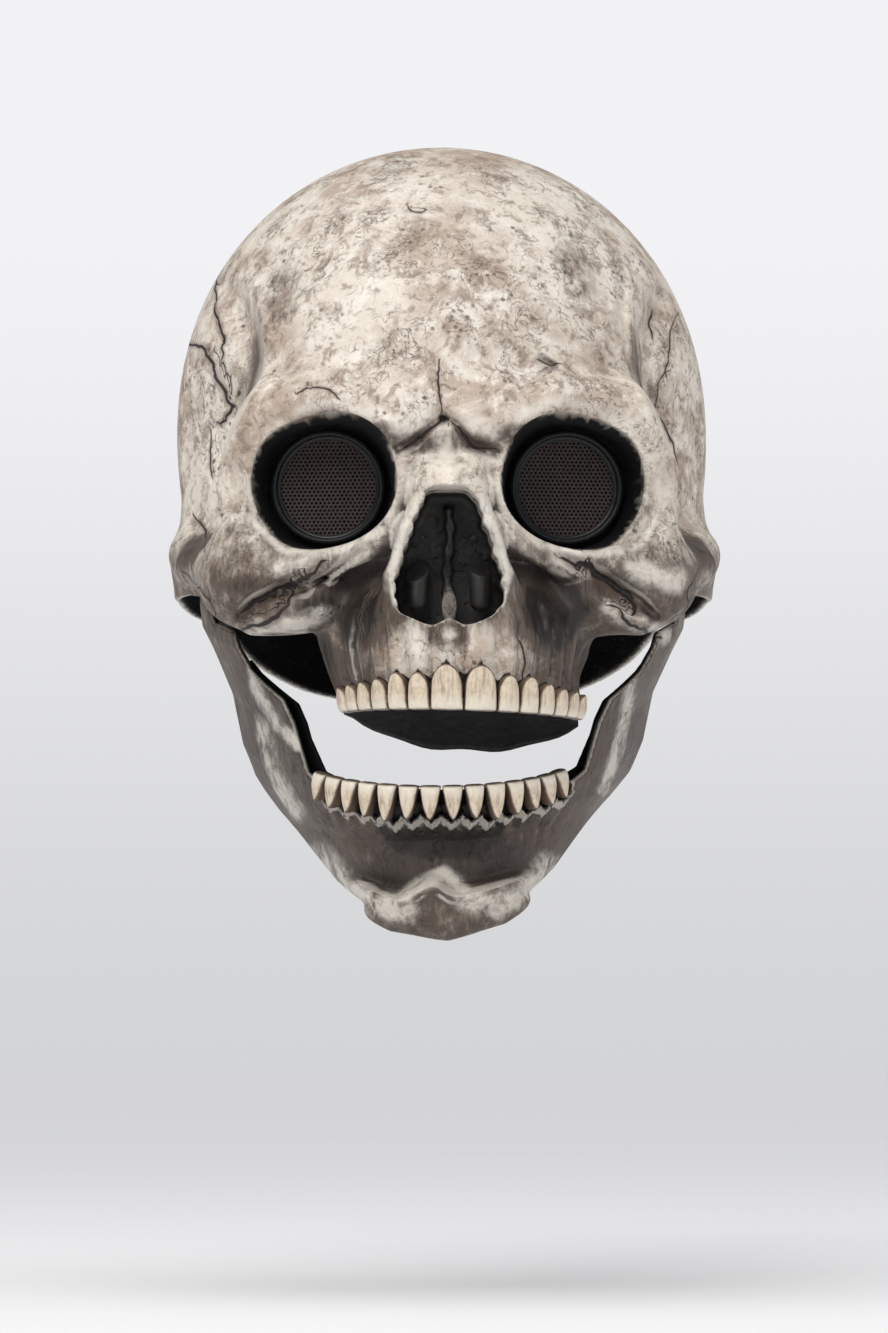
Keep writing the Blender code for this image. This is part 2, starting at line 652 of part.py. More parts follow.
def make_eye(side, word):
    """A round screen on the socket's floor and the black ring that holds it down."""
    screen_back = SOCKET_DEPTH - GAP
    screen_front = screen_back - SCREEN_THICK
    disc = [circle(socket_point(side, d), socket_axis(side), SCREEN_RADIUS, 28) for d in (screen_front, screen_back)]
    smooth(lofted(f"eye_screen_{word}", disc, "black_screen"))
    back = screen_front - GAP
    front = back - RING_HEIGHT
    outer = SOCKET_FLOOR_RADIUS - GAP - 0.2
    profile = ((back, LENS_RADIUS - 0.4), (front + 1.0, LENS_RADIUS - 0.8), (front, LENS_RADIUS + 0.4),
               (front, outer - 1.4), (front + 0.8, outer - 0.2), (back, outer - 0.2))
    turned_band(f"eye_ring_{word}", side, profile, "black_plastic")


def main():
    clear_scene()
    make_skull()
    make_jaw()
    for side, word in ((1, "right"), (-1, "left")):
        make_eye(side, word)
        make_pin(side, word)


main()
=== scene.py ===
import math

import bmesh
import bpy
import numpy as np
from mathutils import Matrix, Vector


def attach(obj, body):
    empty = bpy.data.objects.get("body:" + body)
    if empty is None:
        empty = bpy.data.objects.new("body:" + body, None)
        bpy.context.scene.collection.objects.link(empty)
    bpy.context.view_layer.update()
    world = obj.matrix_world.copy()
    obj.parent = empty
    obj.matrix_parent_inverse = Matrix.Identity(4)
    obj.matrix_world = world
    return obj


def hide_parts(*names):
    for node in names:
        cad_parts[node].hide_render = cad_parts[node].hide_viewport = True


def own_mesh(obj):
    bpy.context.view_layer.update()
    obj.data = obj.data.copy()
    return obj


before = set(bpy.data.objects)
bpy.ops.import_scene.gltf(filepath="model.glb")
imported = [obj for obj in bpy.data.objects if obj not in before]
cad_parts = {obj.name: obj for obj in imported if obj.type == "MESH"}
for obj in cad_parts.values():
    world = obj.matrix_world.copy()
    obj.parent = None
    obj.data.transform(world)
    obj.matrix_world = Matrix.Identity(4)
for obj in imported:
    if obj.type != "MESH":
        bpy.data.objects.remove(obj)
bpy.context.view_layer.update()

# Every form below is in millimetres in the row's frame: X to the viewer's right, the face towards -Y, Z up.
MM = 0.001
WALL = 3.0
JAW_OPEN_DEG = 12.0
HINGE_Y, HINGE_Z = 4.0, -152.0
PIN_HOLE_RADIUS = 2.9
# Scale of the meshes' grid steps; a larger one makes them coarser
FINE = 1.0

# The photo's view, and the distance at which its flat millimetres are true
VIEW_FROM = np.array((0.0, -1995.0, -329.6))
VIEW_AHEAD = np.array((0.0, 0.9976, 0.0698))
VIEW_UP = np.array((0.0, -0.0698, 0.9976))
VIEW_FOCUS = 2000.0
# Between these two distances the view's rays meet the mask
VIEW_NEAR, VIEW_FAR = 1860.0, 2060.0
# The cracks' chart is narrower than the view by this share
CHART_WIDTH = 0.9993
PHOTO_WIDTH, PHOTO_HEIGHT, FOCAL_PIXELS = 888, 1333, 5420

# Forms of the skull: name, centre, radii, blend with what came before
MIDDLE_FORMS = (
    ("vault", (-1, 14, -95.25), (97, 114, 99), 1),
    ("side_walls", (0, 16, -128), (94.5, 92, 120), 14),
    ("occiput", (0, 54, -118), (84, 74, 78), 14),
    ("nape", (0, 48, -165), (78, 58, 60), 14),
    ("forehead", (0, -52, -84), (60, 51, 42), 12),
    ("face_core", (0, -42, -140), (64, 52, 52), 12),
    ("glabella", (0, -96, -107), (24, 11, 13), 12),
    ("maxilla", (2, -60, -184), (47, 44, 36), 10),
    ("snout", (3, -84, -186), (35, 26, 26), 10),
)
PAIRED_FORMS = (
    ("cheekbone", (69, -71, -165), (20, 17, 17), 12),
    ("cheek_front", (55, -77, -170), (18, 14, 14), 10),
    ("eye_pad", (44, -66, -131), (31, 31, 27), 6),
    ("brow_corner", (66, -76, -106), (11, 12, 11), 12),
    ("ear_region", (84, 11, -158), (16, 36, 32), 8),
)
PAIRED_RIDGES = (
    ("brow", ((9, -99, -115), (22, -101, -108), (36, -99.5, -102.5), (52, -92, -102), (64, -83, -106),
              (73, -75, -115)), (7.5, 8.5, 7, 5.5, 5, 5.5), 15),
    ("outer_rim", ((75, -71, -114), (76, -68, -130), (74, -69, -150)), (6, 5.5, 9), 6),
    ("lower_rim", ((74, -72, -152), (58, -85, -160), (42, -91, -160), (26, -95, -153)), (8, 6, 5, 5), 6),
    ("inner_rim", ((16, -99, -118), (17, -100, -132), (23, -96, -150)), (5, 4.5, 5), 6),
    ("cheek_arch", ((78, -60, -160), (87, -42, -155), (91, -15, -150), (91, 8, -149)), (11, 10, 9, 8), 8),
    ("nose_side", ((8, -108, -134), (14, -106, -150), (19, -103, -166), (18, -101, -178)),
     (3.6, 3.4, 3.2, 3), 8),
)
NASAL_BONES = ((0, -100, -118), (0, -107, -128), (0, -112, -137))
PAIRED_HOLLOWS = (
    ("temple", (108, -42, -112), (22, 34, 40), 10),
    ("behind_rim", (96.5, -48, -127), (20, 20, 23), 5),
    ("beside_nose", (38, -116, -174), (12, 18, 11), 8),
    ("under_cheek", (64, -78, -200), (18, 34, 13), 5),
    ("under_arch", (92, -36, -187), (14, 30, 22), 5),
)
# Edge of the temple dent: height, distance from the middle
TEMPLE_LINE = {"z": (-122, -112, -104, -96, -84, -72, -60, -50, -42),
               "x": (79, 75, 71.5, 67.5, 65, 65.5, 69.5, 77, 86)}
UPPER_ARCH = {"x": 5.5, "y": -60.0, "rx": 43.5, "ry": 49.0, "middle_z": -194.5, "half_height": 15.0}
# Lower edge of the skull by distance to the back
SKULL_RIM = {"y": (-130, -64, -57, -46, -16, 20, 52, 66, 82, 100, 130),
             "z": (-210, -208, -184, -173, -165, -165, -173, -184, -194, -201.5, -202.5)}

SOCKET_CENTRE = (45.0, -90.0, -131.5)
SOCKET_AXIS = (-0.12, 1.0, 0.03)
SOCKET_TILT_DEG = -12.0
SOCKET_MOUTH = (28.6, 24.0)
SOCKET_FLOOR_RADIUS = 21.3
SOCKET_DEPTH = 24.0
LENS_RADIUS = 17.8
SCREEN_RADIUS = 19.6
SEAT_PLAY = 0.3
NOSE = {"z": (-186, -182.5, -179, -173, -166, -158, -150, -142, -137, -133.5),
        "half": (0, 9.5, 16.5, 19.3, 18.4, 16, 13.5, 10.5, 8.5, 5)}
NOSE_BACK_Y = -86.0

# Teeth from the middle outwards: width, height of the gum line above the tip
UPPER_TEETH = ((12.3, 15.5), (8.6, 12.5), (8.2, 12.5), (7.6, 10.5), (7.6, 9.5), (8.0, 9.0), (8.4, 8.5))
LOWER_TEETH = ((7.6, 11.5), (7.4, 11.5), (7.6, 12.5), (7.4, 11.5), (7.4, 11.0), (8.4, 10.5), (8.8, 9.5))
UPPER_ROW = {"x": 5.0, "y": -60.0, "rx": 43.0, "ry": 49.5,
             "tip": -213.0, "slant": -0.03, "rise": 0.0, "up": 1}
LOWER_ROW = {"x": -2.5, "y": -62.0, "rx": 47.5, "ry": 46.5,
             "tip": -216.4, "slant": 0.0, "rise": 1.2, "up": -1}
# Distance along a row at which its rise is full
ROW_REACH = 54
# How much a tooth narrows to its root, and how much the gum's edge round a lower root does
UPPER_TAPER, LOWER_TAPER, ROOT_TAPER = 0.10, 0.58, 0.12

JAW_SECTIONS = {
    "z": (-284, -272, -262, -250, -238, -228, -218, -200, -184, -176, -168, -160, -140),
    "half": (36, 44, 51, 58, 64.5, 71.5, 75.5, 79, 86, 90, 91, 90.6, 90.6),
    "front": (92, 101, 106, 105, 103, 108, 109, 109, 109, 109, 109, 109, 109),
}
JAW_CENTRE_Y = 26.0
# The jaw's wall runs about this far for each degree round it
MM_PER_DEG = 1.85
# Upper and lower edge of the closed jaw's wall by angle from the middle of the face
JAW_EDGES = {
    "angle": (0, 24, 31, 37, 41.5, 43.5, 46, 51.5, 56, 59, 63.6, 67, 70, 73, 75, 77.2, 80.6, 83, 85.2),
    "top": (-224, -223, -221.5, -220, -217, -206, -192, -188, -184, -171, -170.5, -170.5, -171,
            -166, -160, -145, -141, -144.5, -156),
    "bottom": (-272.5, -268.5, -264.5, -260.5, -258.5, -257.5, -256.3, -249.5, -244.2, -241.5, -239,
               -237.5, -235, -233.5, -232.5, -230, -218, -201, -177),
}
# The black lining inside it, which stands a little in front of the branches and behind the lower teeth,
# and is set back on the right by some degrees
LINING_BACK_DEG = 3.5
LINING_EDGE = ((-60, -219), (0, -219), (30, -218.5), (37, -216), (41, -205), (43, -193), (49, -189),
               (55, -185), (58, -181), (62, -183), (66, -198), (60, -240), (-60, -240))
# Crest of the chin as the front view shows it, distance to the right and height
CHIN_CREST = ((-70, -243), (-56, -256), (-43.5, -264.6), (-30, -272), (-17.9, -277.6), (-11, -274.5),
              (-6, -270.7), (-1, -274), (2.1, -276.3), (12, -274), (29.1, -268.5), (42, -258), (60, -243))

# Cracks and creases, charted as the front view shows them in millimetres from the view's middle:
# half width, how jagged, points
CRACKS = (
    (0.55, 1.5, ((-82.7, 151.1), (-84.5, 140), (-85.2, 131.5), (-81.9, 121.6), (-82.7, 113.1),
     (-78.2, 103.1), (-79.7, 99.4))),
    (0.9, 1.6, ((-95.6, 119.4), (-90, 118.6), (-86.3, 112), (-83.8, 104.6), (-80.8, 99.4),
     (-79, 95.7), (-82.7, 89.8))),
    (0.45, 0.8, ((-86.3, 87.2), (-86.6, 77), (-86.3, 67.7))),
    (0.5, 1.2, ((76, 131.5), (75.3, 126.7), (76, 121.6))),
    (0.4, 0.8, ((86, 130.8), (83.4, 125.3), (82.3, 112), (78.6, 104.6), (77.1, 95.7))),
    (0.4, 0.8, ((79.7, 91), (84, 83), (86, 75))),
    (0.35, 1.2, ((-15.1, 170), (-11.4, 167.4), (-7.7, 169.2))),
    (0.34, 1.0, ((-3.3, 113.1), (-4.4, 104.6), (-2.6, 95.7), (-3.3, 91))),
    (0.7, 0.9, ((-2.6, 92), (-5.5, 88.5), (-8.9, 86.1), (-14, 82.5), (-16.2, 81))),
    (0.7, 0.9, ((1.1, 89.8), (4, 87.5), (8.5, 81.2), (17, 80))),
    (0.45, 0.8, ((-55.7, 100.9), (-50.6, 103.1), (-44, 102.5), (-41, 98.5))),
    (0.5, 0.8, ((34.3, 113.1), (37, 111.5), (40.2, 112))),
    (0.8, 2.2, ((-45.8, 39.3), (-53.1, 31.9), (-59.4, 29.3), (-64.2, 25.6))),
    (1.5, 2.6, ((42.8, 39.3), (53.9, 36.7), (58, 33), (63.8, 29.3), (67, 25), (69.7, 20.8))),
    (1.3, 2.0, ((-76.4, 19.7), (-72, 24), (-67.9, 25.6), (-60, 29.5), (-52, 31.9))),
    (0.9, 1.8, ((-79, 13), (-70, 15), (-62, 20), (-57, 26))),
    (0.9, 1.8, ((61, 22), (70, 14), (80, 11))),
    (0.5, 1.0, ((-98.5, 36.7), (-88.9, 25.6), (-85.2, 18.2))),
    (0.45, 1.0, ((-93, 56), (-88, 49), (-90, 42))),
    (0.4, 1.0, ((93, 36), (88, 27), (90, 17))),
    (0.4, 1.0, ((25, 12), (28, 2), (27, -6))),
    (0.4, 1.0, ((-28, 30), (-33, 18), (-31, 8))),
)
# Folds of the face as the front view shows them, grooves in and rolls out: width, depth, points
CREASES = (
    (1.6, 1.0, ((-4.4, 112), (-3.9, 103.6), (-2.6, 95), (-2.4, 91))),
    (2.4, 2.6, ((-2.6, 91.5), (-7.2, 88.6), (-12.5, 83.2), (-19, 80.4))),
    (2.4, 2.6, ((-1.5, 91.5), (2.5, 89.6), (7.8, 82.1), (17.5, 78.7))),
    (4.6, -1.7, ((-19, 90.5), (-10, 94.5))),
    (4.6, -1.7, ((6, 94), (16, 88.5))),
    (2.0, 1.5, ((-51, 103.5), (-40.6, 104.6), (-31.7, 101.3), (-23.2, 94))),
    (1.8, 1.2, ((34, 113.5), (38, 111), (33, 106))),
    (1.4, 0.9, ((23, 106), (28, 102), (35, 104))),
    (2.6, 2.8, ((-76, 19.5), (-71, 24), (-62, 28), (-53, 28))),
    (1.8, 1.8, ((-53, 28), (-45.6, 33), (-36.4, 39.3), (-30.8, 43))),
    (3.2, -1.4, ((-72, 13.5), (-62, 15), (-53, 17), (-46, 21))),
    (2.4, -1.0, ((-66, 35), (-54, 37.5), (-45, 41))),
    (2.4, 2.6, ((41.3, 41), (52.4, 35.6), (57.9, 31.9), (63.5, 29), (70.9, 24.5), (76.4, 19))),
    (3.2, -1.4, ((57, 24), (63, 19.5), (71, 14.5))),
    (2.6, -1.2, ((58, 39), (68, 37), (80, 32))),
    (2.2, 1.6, ((-81.2, 150), (-76.8, 135.8), (-70.8, 122.9), (-69.8, 112), (-74, 101.4), (-79, 93))),
    (2.2, 1.4, ((65, 143), (64, 135.8), (66, 122.9), (68.3, 112), (74, 101.4), (80, 92), (85, 82))),
    (1.5, 1.0, ((-33, 20), (-35, 8), (-33, -4))),
    (1.5, 1.0, ((33, 22), (36, 10), (35, -2))),
    (1.6, 0.9, ((-85, 118), (-83, 108), (-80, 100), (-82, 92))),
)
# Lines and patches painted pale in the same view, partly wear of the paint and partly painted highlights on
# bulges and ridges: width, points
WEAR_AND_HIGHLIGHTS = (
    (2.6, ((-68.3, 77.8), (-66.2, 86.4), (-55.5, 94.5), (-42.6, 96.8), (-29.7, 93.5))),
    (2.2, ((-72.6, 69.3), (-71, 52), (-60, 42.4), (-40.4, 42.5), (-25, 50))),
    (2.8, ((26, 91), (36.8, 98.5), (54, 95.5), (66.8, 87), (75.4, 73.5))),
    (2.4, ((18.6, 71.4), (20.5, 56.4), (34.6, 44.6), (53.9, 41.5), (72, 45), (78.5, 60.7), (77, 72))),
    (5.0, ((-18, 88.5), (-9, 93))),
    (5.0, ((7, 92), (15, 87))),
    (4.0, ((-2, 84), (-1, 76), (0, 68))),
    (1.8, ((-10.4, 64), (-16.8, 52.1), (-21.4, 34.9), (-19.6, 23))),
    (1.8, ((11, 64), (17.5, 49.9), (22, 34.9), (19.4, 23))),
    (4.5, ((-72, 13), (-62, 14.5), (-53, 16), (-46, 20))),
    (3.5, ((-64, 35.5), (-54, 38), (-45, 41.5))),
    (6.0, ((70, 36), (84, 32))),
    (4.5, ((60, 21), (72, 14.5), (84, 11))),
    (4.0, ((-14, 14), (-15, 2), (-17, -8))),
    (4.0, ((0, 12), (0, 2), (-1, -4))),
    (4.0, ((14, 14), (16, 3), (18, -6))),
    (2.6, ((-72.5, 6.9), (-69.7, -8.8), (-62.3, -21.8), (-55, -29))),
    (7.0, ((-70, -24), (-66, -40), (-58, -54))),
    (3.0, ((69, 2), (67.2, -14.4), (63.5, -31), (57.9, -45.8))),
    (6.5, ((-48, -70), (-38, -81), (-29, -86.5), (-16.1, -90))),
    (6.5, ((8, -87), (18, -88), (28.3, -84), (38, -74))),
    (3.4, ((-16.1, -85), (-8.6, -79.5), (-1.3, -76.5), (6.2, -82.5))),
)
# How dark the paint is by height, down the face
LOWER_SHADE = {"z": (-300, -262, -215, -192, -176, -158, -140, -122),
               "shade": (0.66, 0.82, 0.88, 0.74, 0.64, 0.52, 0.20, 0.04)}
# Darker areas, partly darker paint and stains and partly painted shade in hollows and on slopes turned from
# the light: centre, radii, strength; the paired ones are alike on both sides
SHADED = (
    ((0, -104, -118), (13, 14, 5), 0.5), ((38, -96, -178), (18, 18, 17), 1.25),
    ((-38, -96, -178), (20, 18, 17), 1.15), ((47, -74, -50), (9, 28, 16), 0.42),
    ((-58, -66, -62), (9, 22, 16), 0.34), ((8, -84, -26), (12, 26, 10), 0.22),
    ((44, -96, -162), (22, 10, 7), 0.5), ((-40, -96, -162), (24, 10, 7), 0.55),
    ((62, -74, -194), (28, 24, 18), 1.0), ((-58, -74, -194), (28, 24, 18), 1.0),
    ((0, -106, -186), (9, 12, 7), 0.8), ((45, -84, -199), (18, 34, 14), 0.8),
    ((-38, -84, -199), (16, 34, 14), 0.8), ((-40, -98, -108), (12, 10, 4), 0.5),
    ((-66, -84, -168), (17, 12, 6), 0.95), ((62, -84, -166), (20, 12, 7), 0.9),
    ((48, -92, -168), (16, 12, 10), 0.9), ((72, -64, -90), (7, 13, 28), 0.7),
    ((-72, -64, -90), (7, 13, 28), 0.85), ((88, -50, -122), (10, 16, 22), 0.6),
    ((-88, -50, -122), (10, 16, 22), 0.65), ((-3, -80, -254), (28, 24, 12), 1.5),
    ((-3, -76, -243), (42, 24, 8), 1.15), ((40, -70, -250), (16, 20, 14), 0.5),
    ((-44, -70, -252), (16, 20, 14), 0.5), ((66, -52, -228), (20, 26, 24), 0.5),
    ((-66, -52, -228), (20, 26, 24), 0.45),
)
PAIRED_SHADED = (
    ((24, -106, -116), (12, 10, 5), 0.6), ((10, -106, -119), (9, 9, 4), 0.7),
    ((92, -48, -146), (14, 20, 16), 0.9), ((70, -78, -182), (22, 16, 6), 0.55),
    ((78, -34, -194), (16, 32, 26), 0.6),
)
# The middle of the upper jaw stays paler: centre, radii
PALE_MIDDLE = ((2, -104, -195), (28, 16, 13))


def blend_in(a, b, k):
    """Union of two distances with a soft seam k wide."""
    h = np.clip(0.5 + 0.5 * (b - a) / k, 0, 1)
    return b * (1 - h) + a * h - k * h * (1 - h)


def carve(a, b, k):
    return -blend_in(-a, b, k)


def both_of(a, b, k):
    return -blend_in(-a, -b, k)


def ease(low, high, value):
    """Goes smoothly from 0 at low to 1 at high."""
    t = np.clip((value - low) / (high - low), 0, 1)
    return t * t * (3 - 2 * t)


def ball(p, centre, radii):
    """Distance from an ellipsoid, close to its surface."""
    r = np.array(radii, np.float32)
    q = (p - np.array(centre, np.float32)) / r
    k0 = np.sqrt((q * q).sum(1))
    q = q / r
    return k0 * (k0 - 1) / np.maximum(np.sqrt((q * q).sum(1)), 1e-6)


def ridge(p, points, radii, k=4.0):
    """Distance from a chain of round bars through the points."""
    best = None
    for i in range(len(points) - 1):
        a, b = (np.array(points[j], np.float32) for j in (i, i + 1))
        ab = b - a
        t = np.clip(((p - a) @ ab) / float(ab @ ab), 0, 1)
        d = np.sqrt((((p - a) - t[:, None] * ab) ** 2).sum(1)) - (radii[i] + (radii[i + 1] - radii[i]) * t)
        best = d if best is None else blend_in(best, d, k)
    return best


def off_centre(p, centre, radii):
    """Distance from the centre in radii, 1 on the ellipsoid."""
    return np.linalg.norm((p - np.array(centre)) / np.array(radii), axis=1)


def folded(p):
    """The points with their left side laid over the right one."""
    q = p.copy()
    q[:, 0] = np.abs(q[:, 0])
    return q


def look_up(table, key, value, at):
    return np.interp(at, table[key], table[value]).astype(np.float32)


def outline(u, v, points):
    """Signed distance to a closed outline, negative inside."""
    pts = np.array(points, np.float32)
    d = np.full(u.shape, 1e9, np.float32)
    sign = np.ones(u.shape, np.float32)
    for i in range(len(pts)):
        a, b = pts[i], pts[i - 1]
        e = b - a
        wu, wv = u - a[0], v - a[1]
        t = np.clip((wu * e[0] + wv * e[1]) / float(e @ e), 0, 1)
        d = np.minimum(d, (wu - e[0] * t) ** 2 + (wv - e[1] * t) ** 2)
        above, below, left = v >= a[1], v < b[1], e[0] * wv > e[1] * wu
        sign = np.where((above & below & left) | (~above & ~below & ~left), -sign, sign)
    return sign * np.sqrt(d)


def in_view(p):
    """Where points lie in the photo's view, in flat millimetres to the right and up."""
    away = p - VIEW_FROM
    depth = away @ VIEW_AHEAD
    return VIEW_FOCUS * away[:, 0] / depth, VIEW_FOCUS * (away @ VIEW_UP) / depth


def line_distance(u, v, line):
    best = np.full(len(u), 1e9)
    for a, b in zip(line, line[1:]):
        du, dv = b[0] - a[0], b[1] - a[1]
        t = np.clip(((u - a[0]) * du + (v - a[1]) * dv) / (du * du + dv * dv), 0, 1)
        best = np.minimum(best, (u - a[0] - t * du) ** 2 + (v - a[1] - t * dv) ** 2)
    return np.sqrt(best)


def drawn(u, v, width, line):
    """Which points lie near a line of the front view, and how close, from 0 to 1 on the line."""
    pts, reach = np.array(line, float), 2.5 * width
    (left, low), (right, high) = pts.min(0) - reach, pts.max(0) + reach
    near = np.flatnonzero((u > left) & (u < right) & (v > low) & (v < high))
    return near, np.exp(-(line_distance(u[near], v[near], line) / width) ** 2)


def crease_relief(p):
    """Depth of the folds of the face at points near its front."""
    total = np.zeros(len(p), np.float32)
    front = np.flatnonzero(p[:, 1] < -30)
    u, v = in_view(p[front])
    here = np.zeros(len(front))
    for width, depth, line in CREASES:
        near, close = drawn(u, v, width, line)
        here[near] += depth * close
    total[front] = here * (1 - ease(-45, -30, p[front, 1]))
    return total


def closed(p):
    """Points of the open rest position as they lie with the jaw closed, its slight skew undone."""
    a = math.radians(-JAW_OPEN_DEG)
    q = p.copy()
    dy, dz = p[:, 1] - HINGE_Y, p[:, 2] - HINGE_Z
    q[:, 1] = HINGE_Y + dy * math.cos(a) - dz * math.sin(a)
    q[:, 2] = HINGE_Z + dy * math.sin(a) + dz * math.cos(a)
    q[:, 2] -= p[:, 0] * (0.012 * ease(-180, -210, q[:, 2]) + 0.055 * ease(-222, -250, q[:, 2]))
    return q


def row_length(table):
    """Half the length of a row of teeth."""
    return sum(w for w, _ in table)


def row_place(p, row, table):
    """Where points lie along a row of teeth: run from the middle, offset outwards, height above the tips,
    share of the way across the nearest tooth, and that tooth's width and height."""
    x, y = p[:, 0] - row["x"], p[:, 1] - row["y"]
    rx, ry = row["rx"], row["ry"]
    angle = np.arctan2(x / rx, -y / ry)
    run = angle * (rx + ry) / 2 * 0.98
    out = (np.hypot(x / rx, y / ry) - 1) * (rx * np.sin(angle) ** 2 + ry * np.cos(angle) ** 2)
    tips = row["rise"] * (run / ROW_REACH) ** 2
    height = (p[:, 2] - row["tip"] - x * row["slant"] - tips) * row["up"]
    edges = np.concatenate([[0], np.cumsum([w for w, _ in table])])
    n = np.clip(np.searchsorted(edges, np.abs(run)) - 1, 0, len(table) - 1)
    width = np.array([w for w, _ in table], np.float32)[n]
    tall = np.array([h for _, h in table], np.float32)[n]
    across = (np.abs(run) - edges[n] - width / 2) * 2 / width
    return run.astype(np.float32), out.astype(np.float32), height, across.astype(np.float32), width, tall


def tooth_outline(across, width, height, tall, narrow):
    """Signed distance in the plane of the row from the nearest tooth's rounded outline."""
    t = np.clip(height / tall, 0, 1)
    side = width / 2 * (0.97 - narrow * t)
    lift = np.clip((height - tall * 0.5) / (tall * 0.5), 0, 2)
    reach = side * np.sqrt(np.clip(1 - lift ** 2.2, 0, 1)) + np.minimum(0, 1 - lift) * 4
    return np.maximum(np.abs(across) * width / 2 - reach, -height + 0.25 * (np.abs(across) ** 4))


def teeth_form(p, row, table, narrow, thick):
    run, out, height, across, width, tall = row_place(p, row, table)
    d = tooth_outline(across, width, height, tall + 0.5, narrow)
    bulge = thick * (1 - 0.42 * np.abs(across) ** 2.6) * (1 - 0.38 * (1 - np.clip(height / 5, 0, 1)) ** 2)
    d = both_of(d * 0.8, np.abs(out + 0.3) - bulge, 1.3)
    ends = np.abs(run) - row_length(table)
    return both_of(d, ends, 0.6)


def upper_teeth(p):
    return teeth_form(p, UPPER_ROW, UPPER_TEETH, UPPER_TAPER, 3.9)


def lower_teeth(p):
    return teeth_form(closed(p), LOWER_ROW, LOWER_TEETH, LOWER_TAPER, 3.7)


def temple_dent(m, room=0.0):
    """Depth of the dent behind the crisp edge of each temple.
    With room it is the wider dent of the wall's inside."""
    edge = look_up(TEMPLE_LINE, "z", "x", m[:, 2])
    s = (m[:, 0] - edge) * 0.85
    window = ease(-130, -112, m[:, 2]) * (1 - ease(-58, -38, m[:, 2])) * (1 - ease(-40, -18, m[:, 1]))
    fading = np.exp(-np.clip(s - 4.5 - room, 0, 60) / (13 + room))
    return 8.0 * ease(-0.5 - room, 6.5 - room, s) * fading * window


def root_relief(p, row, table, low, high, depth):
    """Upright ridges over the roots of a row of teeth."""
    run, out, height, across, width, tall = row_place(p, row, table)
    inside = 1 - ease(0.9, 1.1, np.abs(run) / row_length(table))
    window = ease(low, low + 3, height) * (1 - ease(high - 12, high, height)) * inside
    return depth * np.clip(np.abs(across), 0, 1) ** 2 * window * ease(-9, -5, out)


def skull_smooth(p):
    """The skull's outer form without its temple dents."""
    m = folded(p)
    f = np.full(len(p), 1e3, np.float32)
    for _, centre, radii, blend in MIDDLE_FORMS:
        f = blend_in(f, ball(p, centre, radii), blend)
    for _, centre, radii, blend in PAIRED_FORMS:
        f = blend_in(f, ball(m, centre, radii), blend)
    for _, points, radii, blend in PAIRED_RIDGES:
        f = blend_in(f, ridge(m, points, radii), blend)
    f = blend_in(f, ridge(p, NASAL_BONES, (8.5, 8, 7.5)), 8)
    arch = UPPER_ARCH
    oval = np.hypot((p[:, 0] - arch["x"]) / arch["rx"], (p[:, 1] - arch["y"]) / arch["ry"])
    drum = both_of((oval - 1) * arch["rx"], np.abs(p[:, 2] - arch["middle_z"]) - arch["half_height"], 6)
    f = blend_in(f, drum, 8)
    for _, centre, radii, blend in PAIRED_HOLLOWS:
        f = carve(f, ball(m, centre, radii), blend)
    f = carve(f, ball(p, (0, -119, -122), (12, 12, 5)), 6)
    f = carve(f, ridge(m, ((46, -98, -160), (57, -94, -170), (68, -87, -177)), (3.5, 4.5, 3.5)), 3)
    return f


def skull_outside(p):
    return skull_smooth(p) + temple_dent(folded(p))


def skull_relief(p):
    return root_relief(p, UPPER_ROW, UPPER_TEETH, 7, 38, 2.3) + crease_relief(p)


def skull_face(p):
    """The skull's outer form with its folds and root ridges."""
    return skull_outside(p) + skull_relief(p)


def socket_place(p):
    """How deep points lie along the axis of a socket, and where across it."""
    q = folded(p) - np.array(SOCKET_CENTRE, np.float32)
    axis = np.array(SOCKET_AXIS, np.float32)
    axis /= np.linalg.norm(axis)
    t = q @ axis
    return t, q - t[:, None] * axis


def socket_well(p, grow=0.0):
    """Both sockets: oval wells that narrow to a round floor."""
    t, flat = socket_place(p)
    c, s = math.cos(math.radians(SOCKET_TILT_DEG)), math.sin(math.radians(SOCKET_TILT_DEG))
    u, v = flat[:, 0] * c + flat[:, 2] * s, -flat[:, 0] * s + flat[:, 2] * c
    r = np.clip((t + 14) / (SOCKET_DEPTH + 14), 0, 1)
    wide = SOCKET_MOUTH[0] + (SOCKET_FLOOR_RADIUS - SOCKET_MOUTH[0]) * r + grow
    tall = SOCKET_MOUTH[1] + (SOCKET_FLOOR_RADIUS - SOCKET_MOUTH[1]) * r + grow
    d = (((np.abs(u) / wide) ** 2.25 + (np.abs(v) / tall) ** 2.25) ** (1 / 2.25) - 1) * 22
    return both_of(d, t - (SOCKET_DEPTH + grow), 2.5)


def lens_hole(p):
    t, flat = socket_place(p)
    return both_of(np.sqrt((flat * flat).sum(1)) - LENS_RADIUS, np.abs(t - 26) - 12, 0.3)


def nose_well(p, grow=0.0):
    z = p[:, 2]
    wobble = 0.7 * np.sin(z * 0.9 + 2 * np.sign(p[:, 0])) * np.sin(z * 0.31)
    d = (np.abs(p[:, 0]) - look_up(NOSE, "z", "half", z) - grow - wobble) * 0.9
    notch = 2.5 * np.exp(-(p[:, 0] / 4.0) ** 2)
    d = both_of(d, -(z + 183.5 - notch + grow), 3)
    d = both_of(d, z + 135.0 - grow, 2)
    return both_of(d, p[:, 1] - NOSE_BACK_Y - grow, 3)


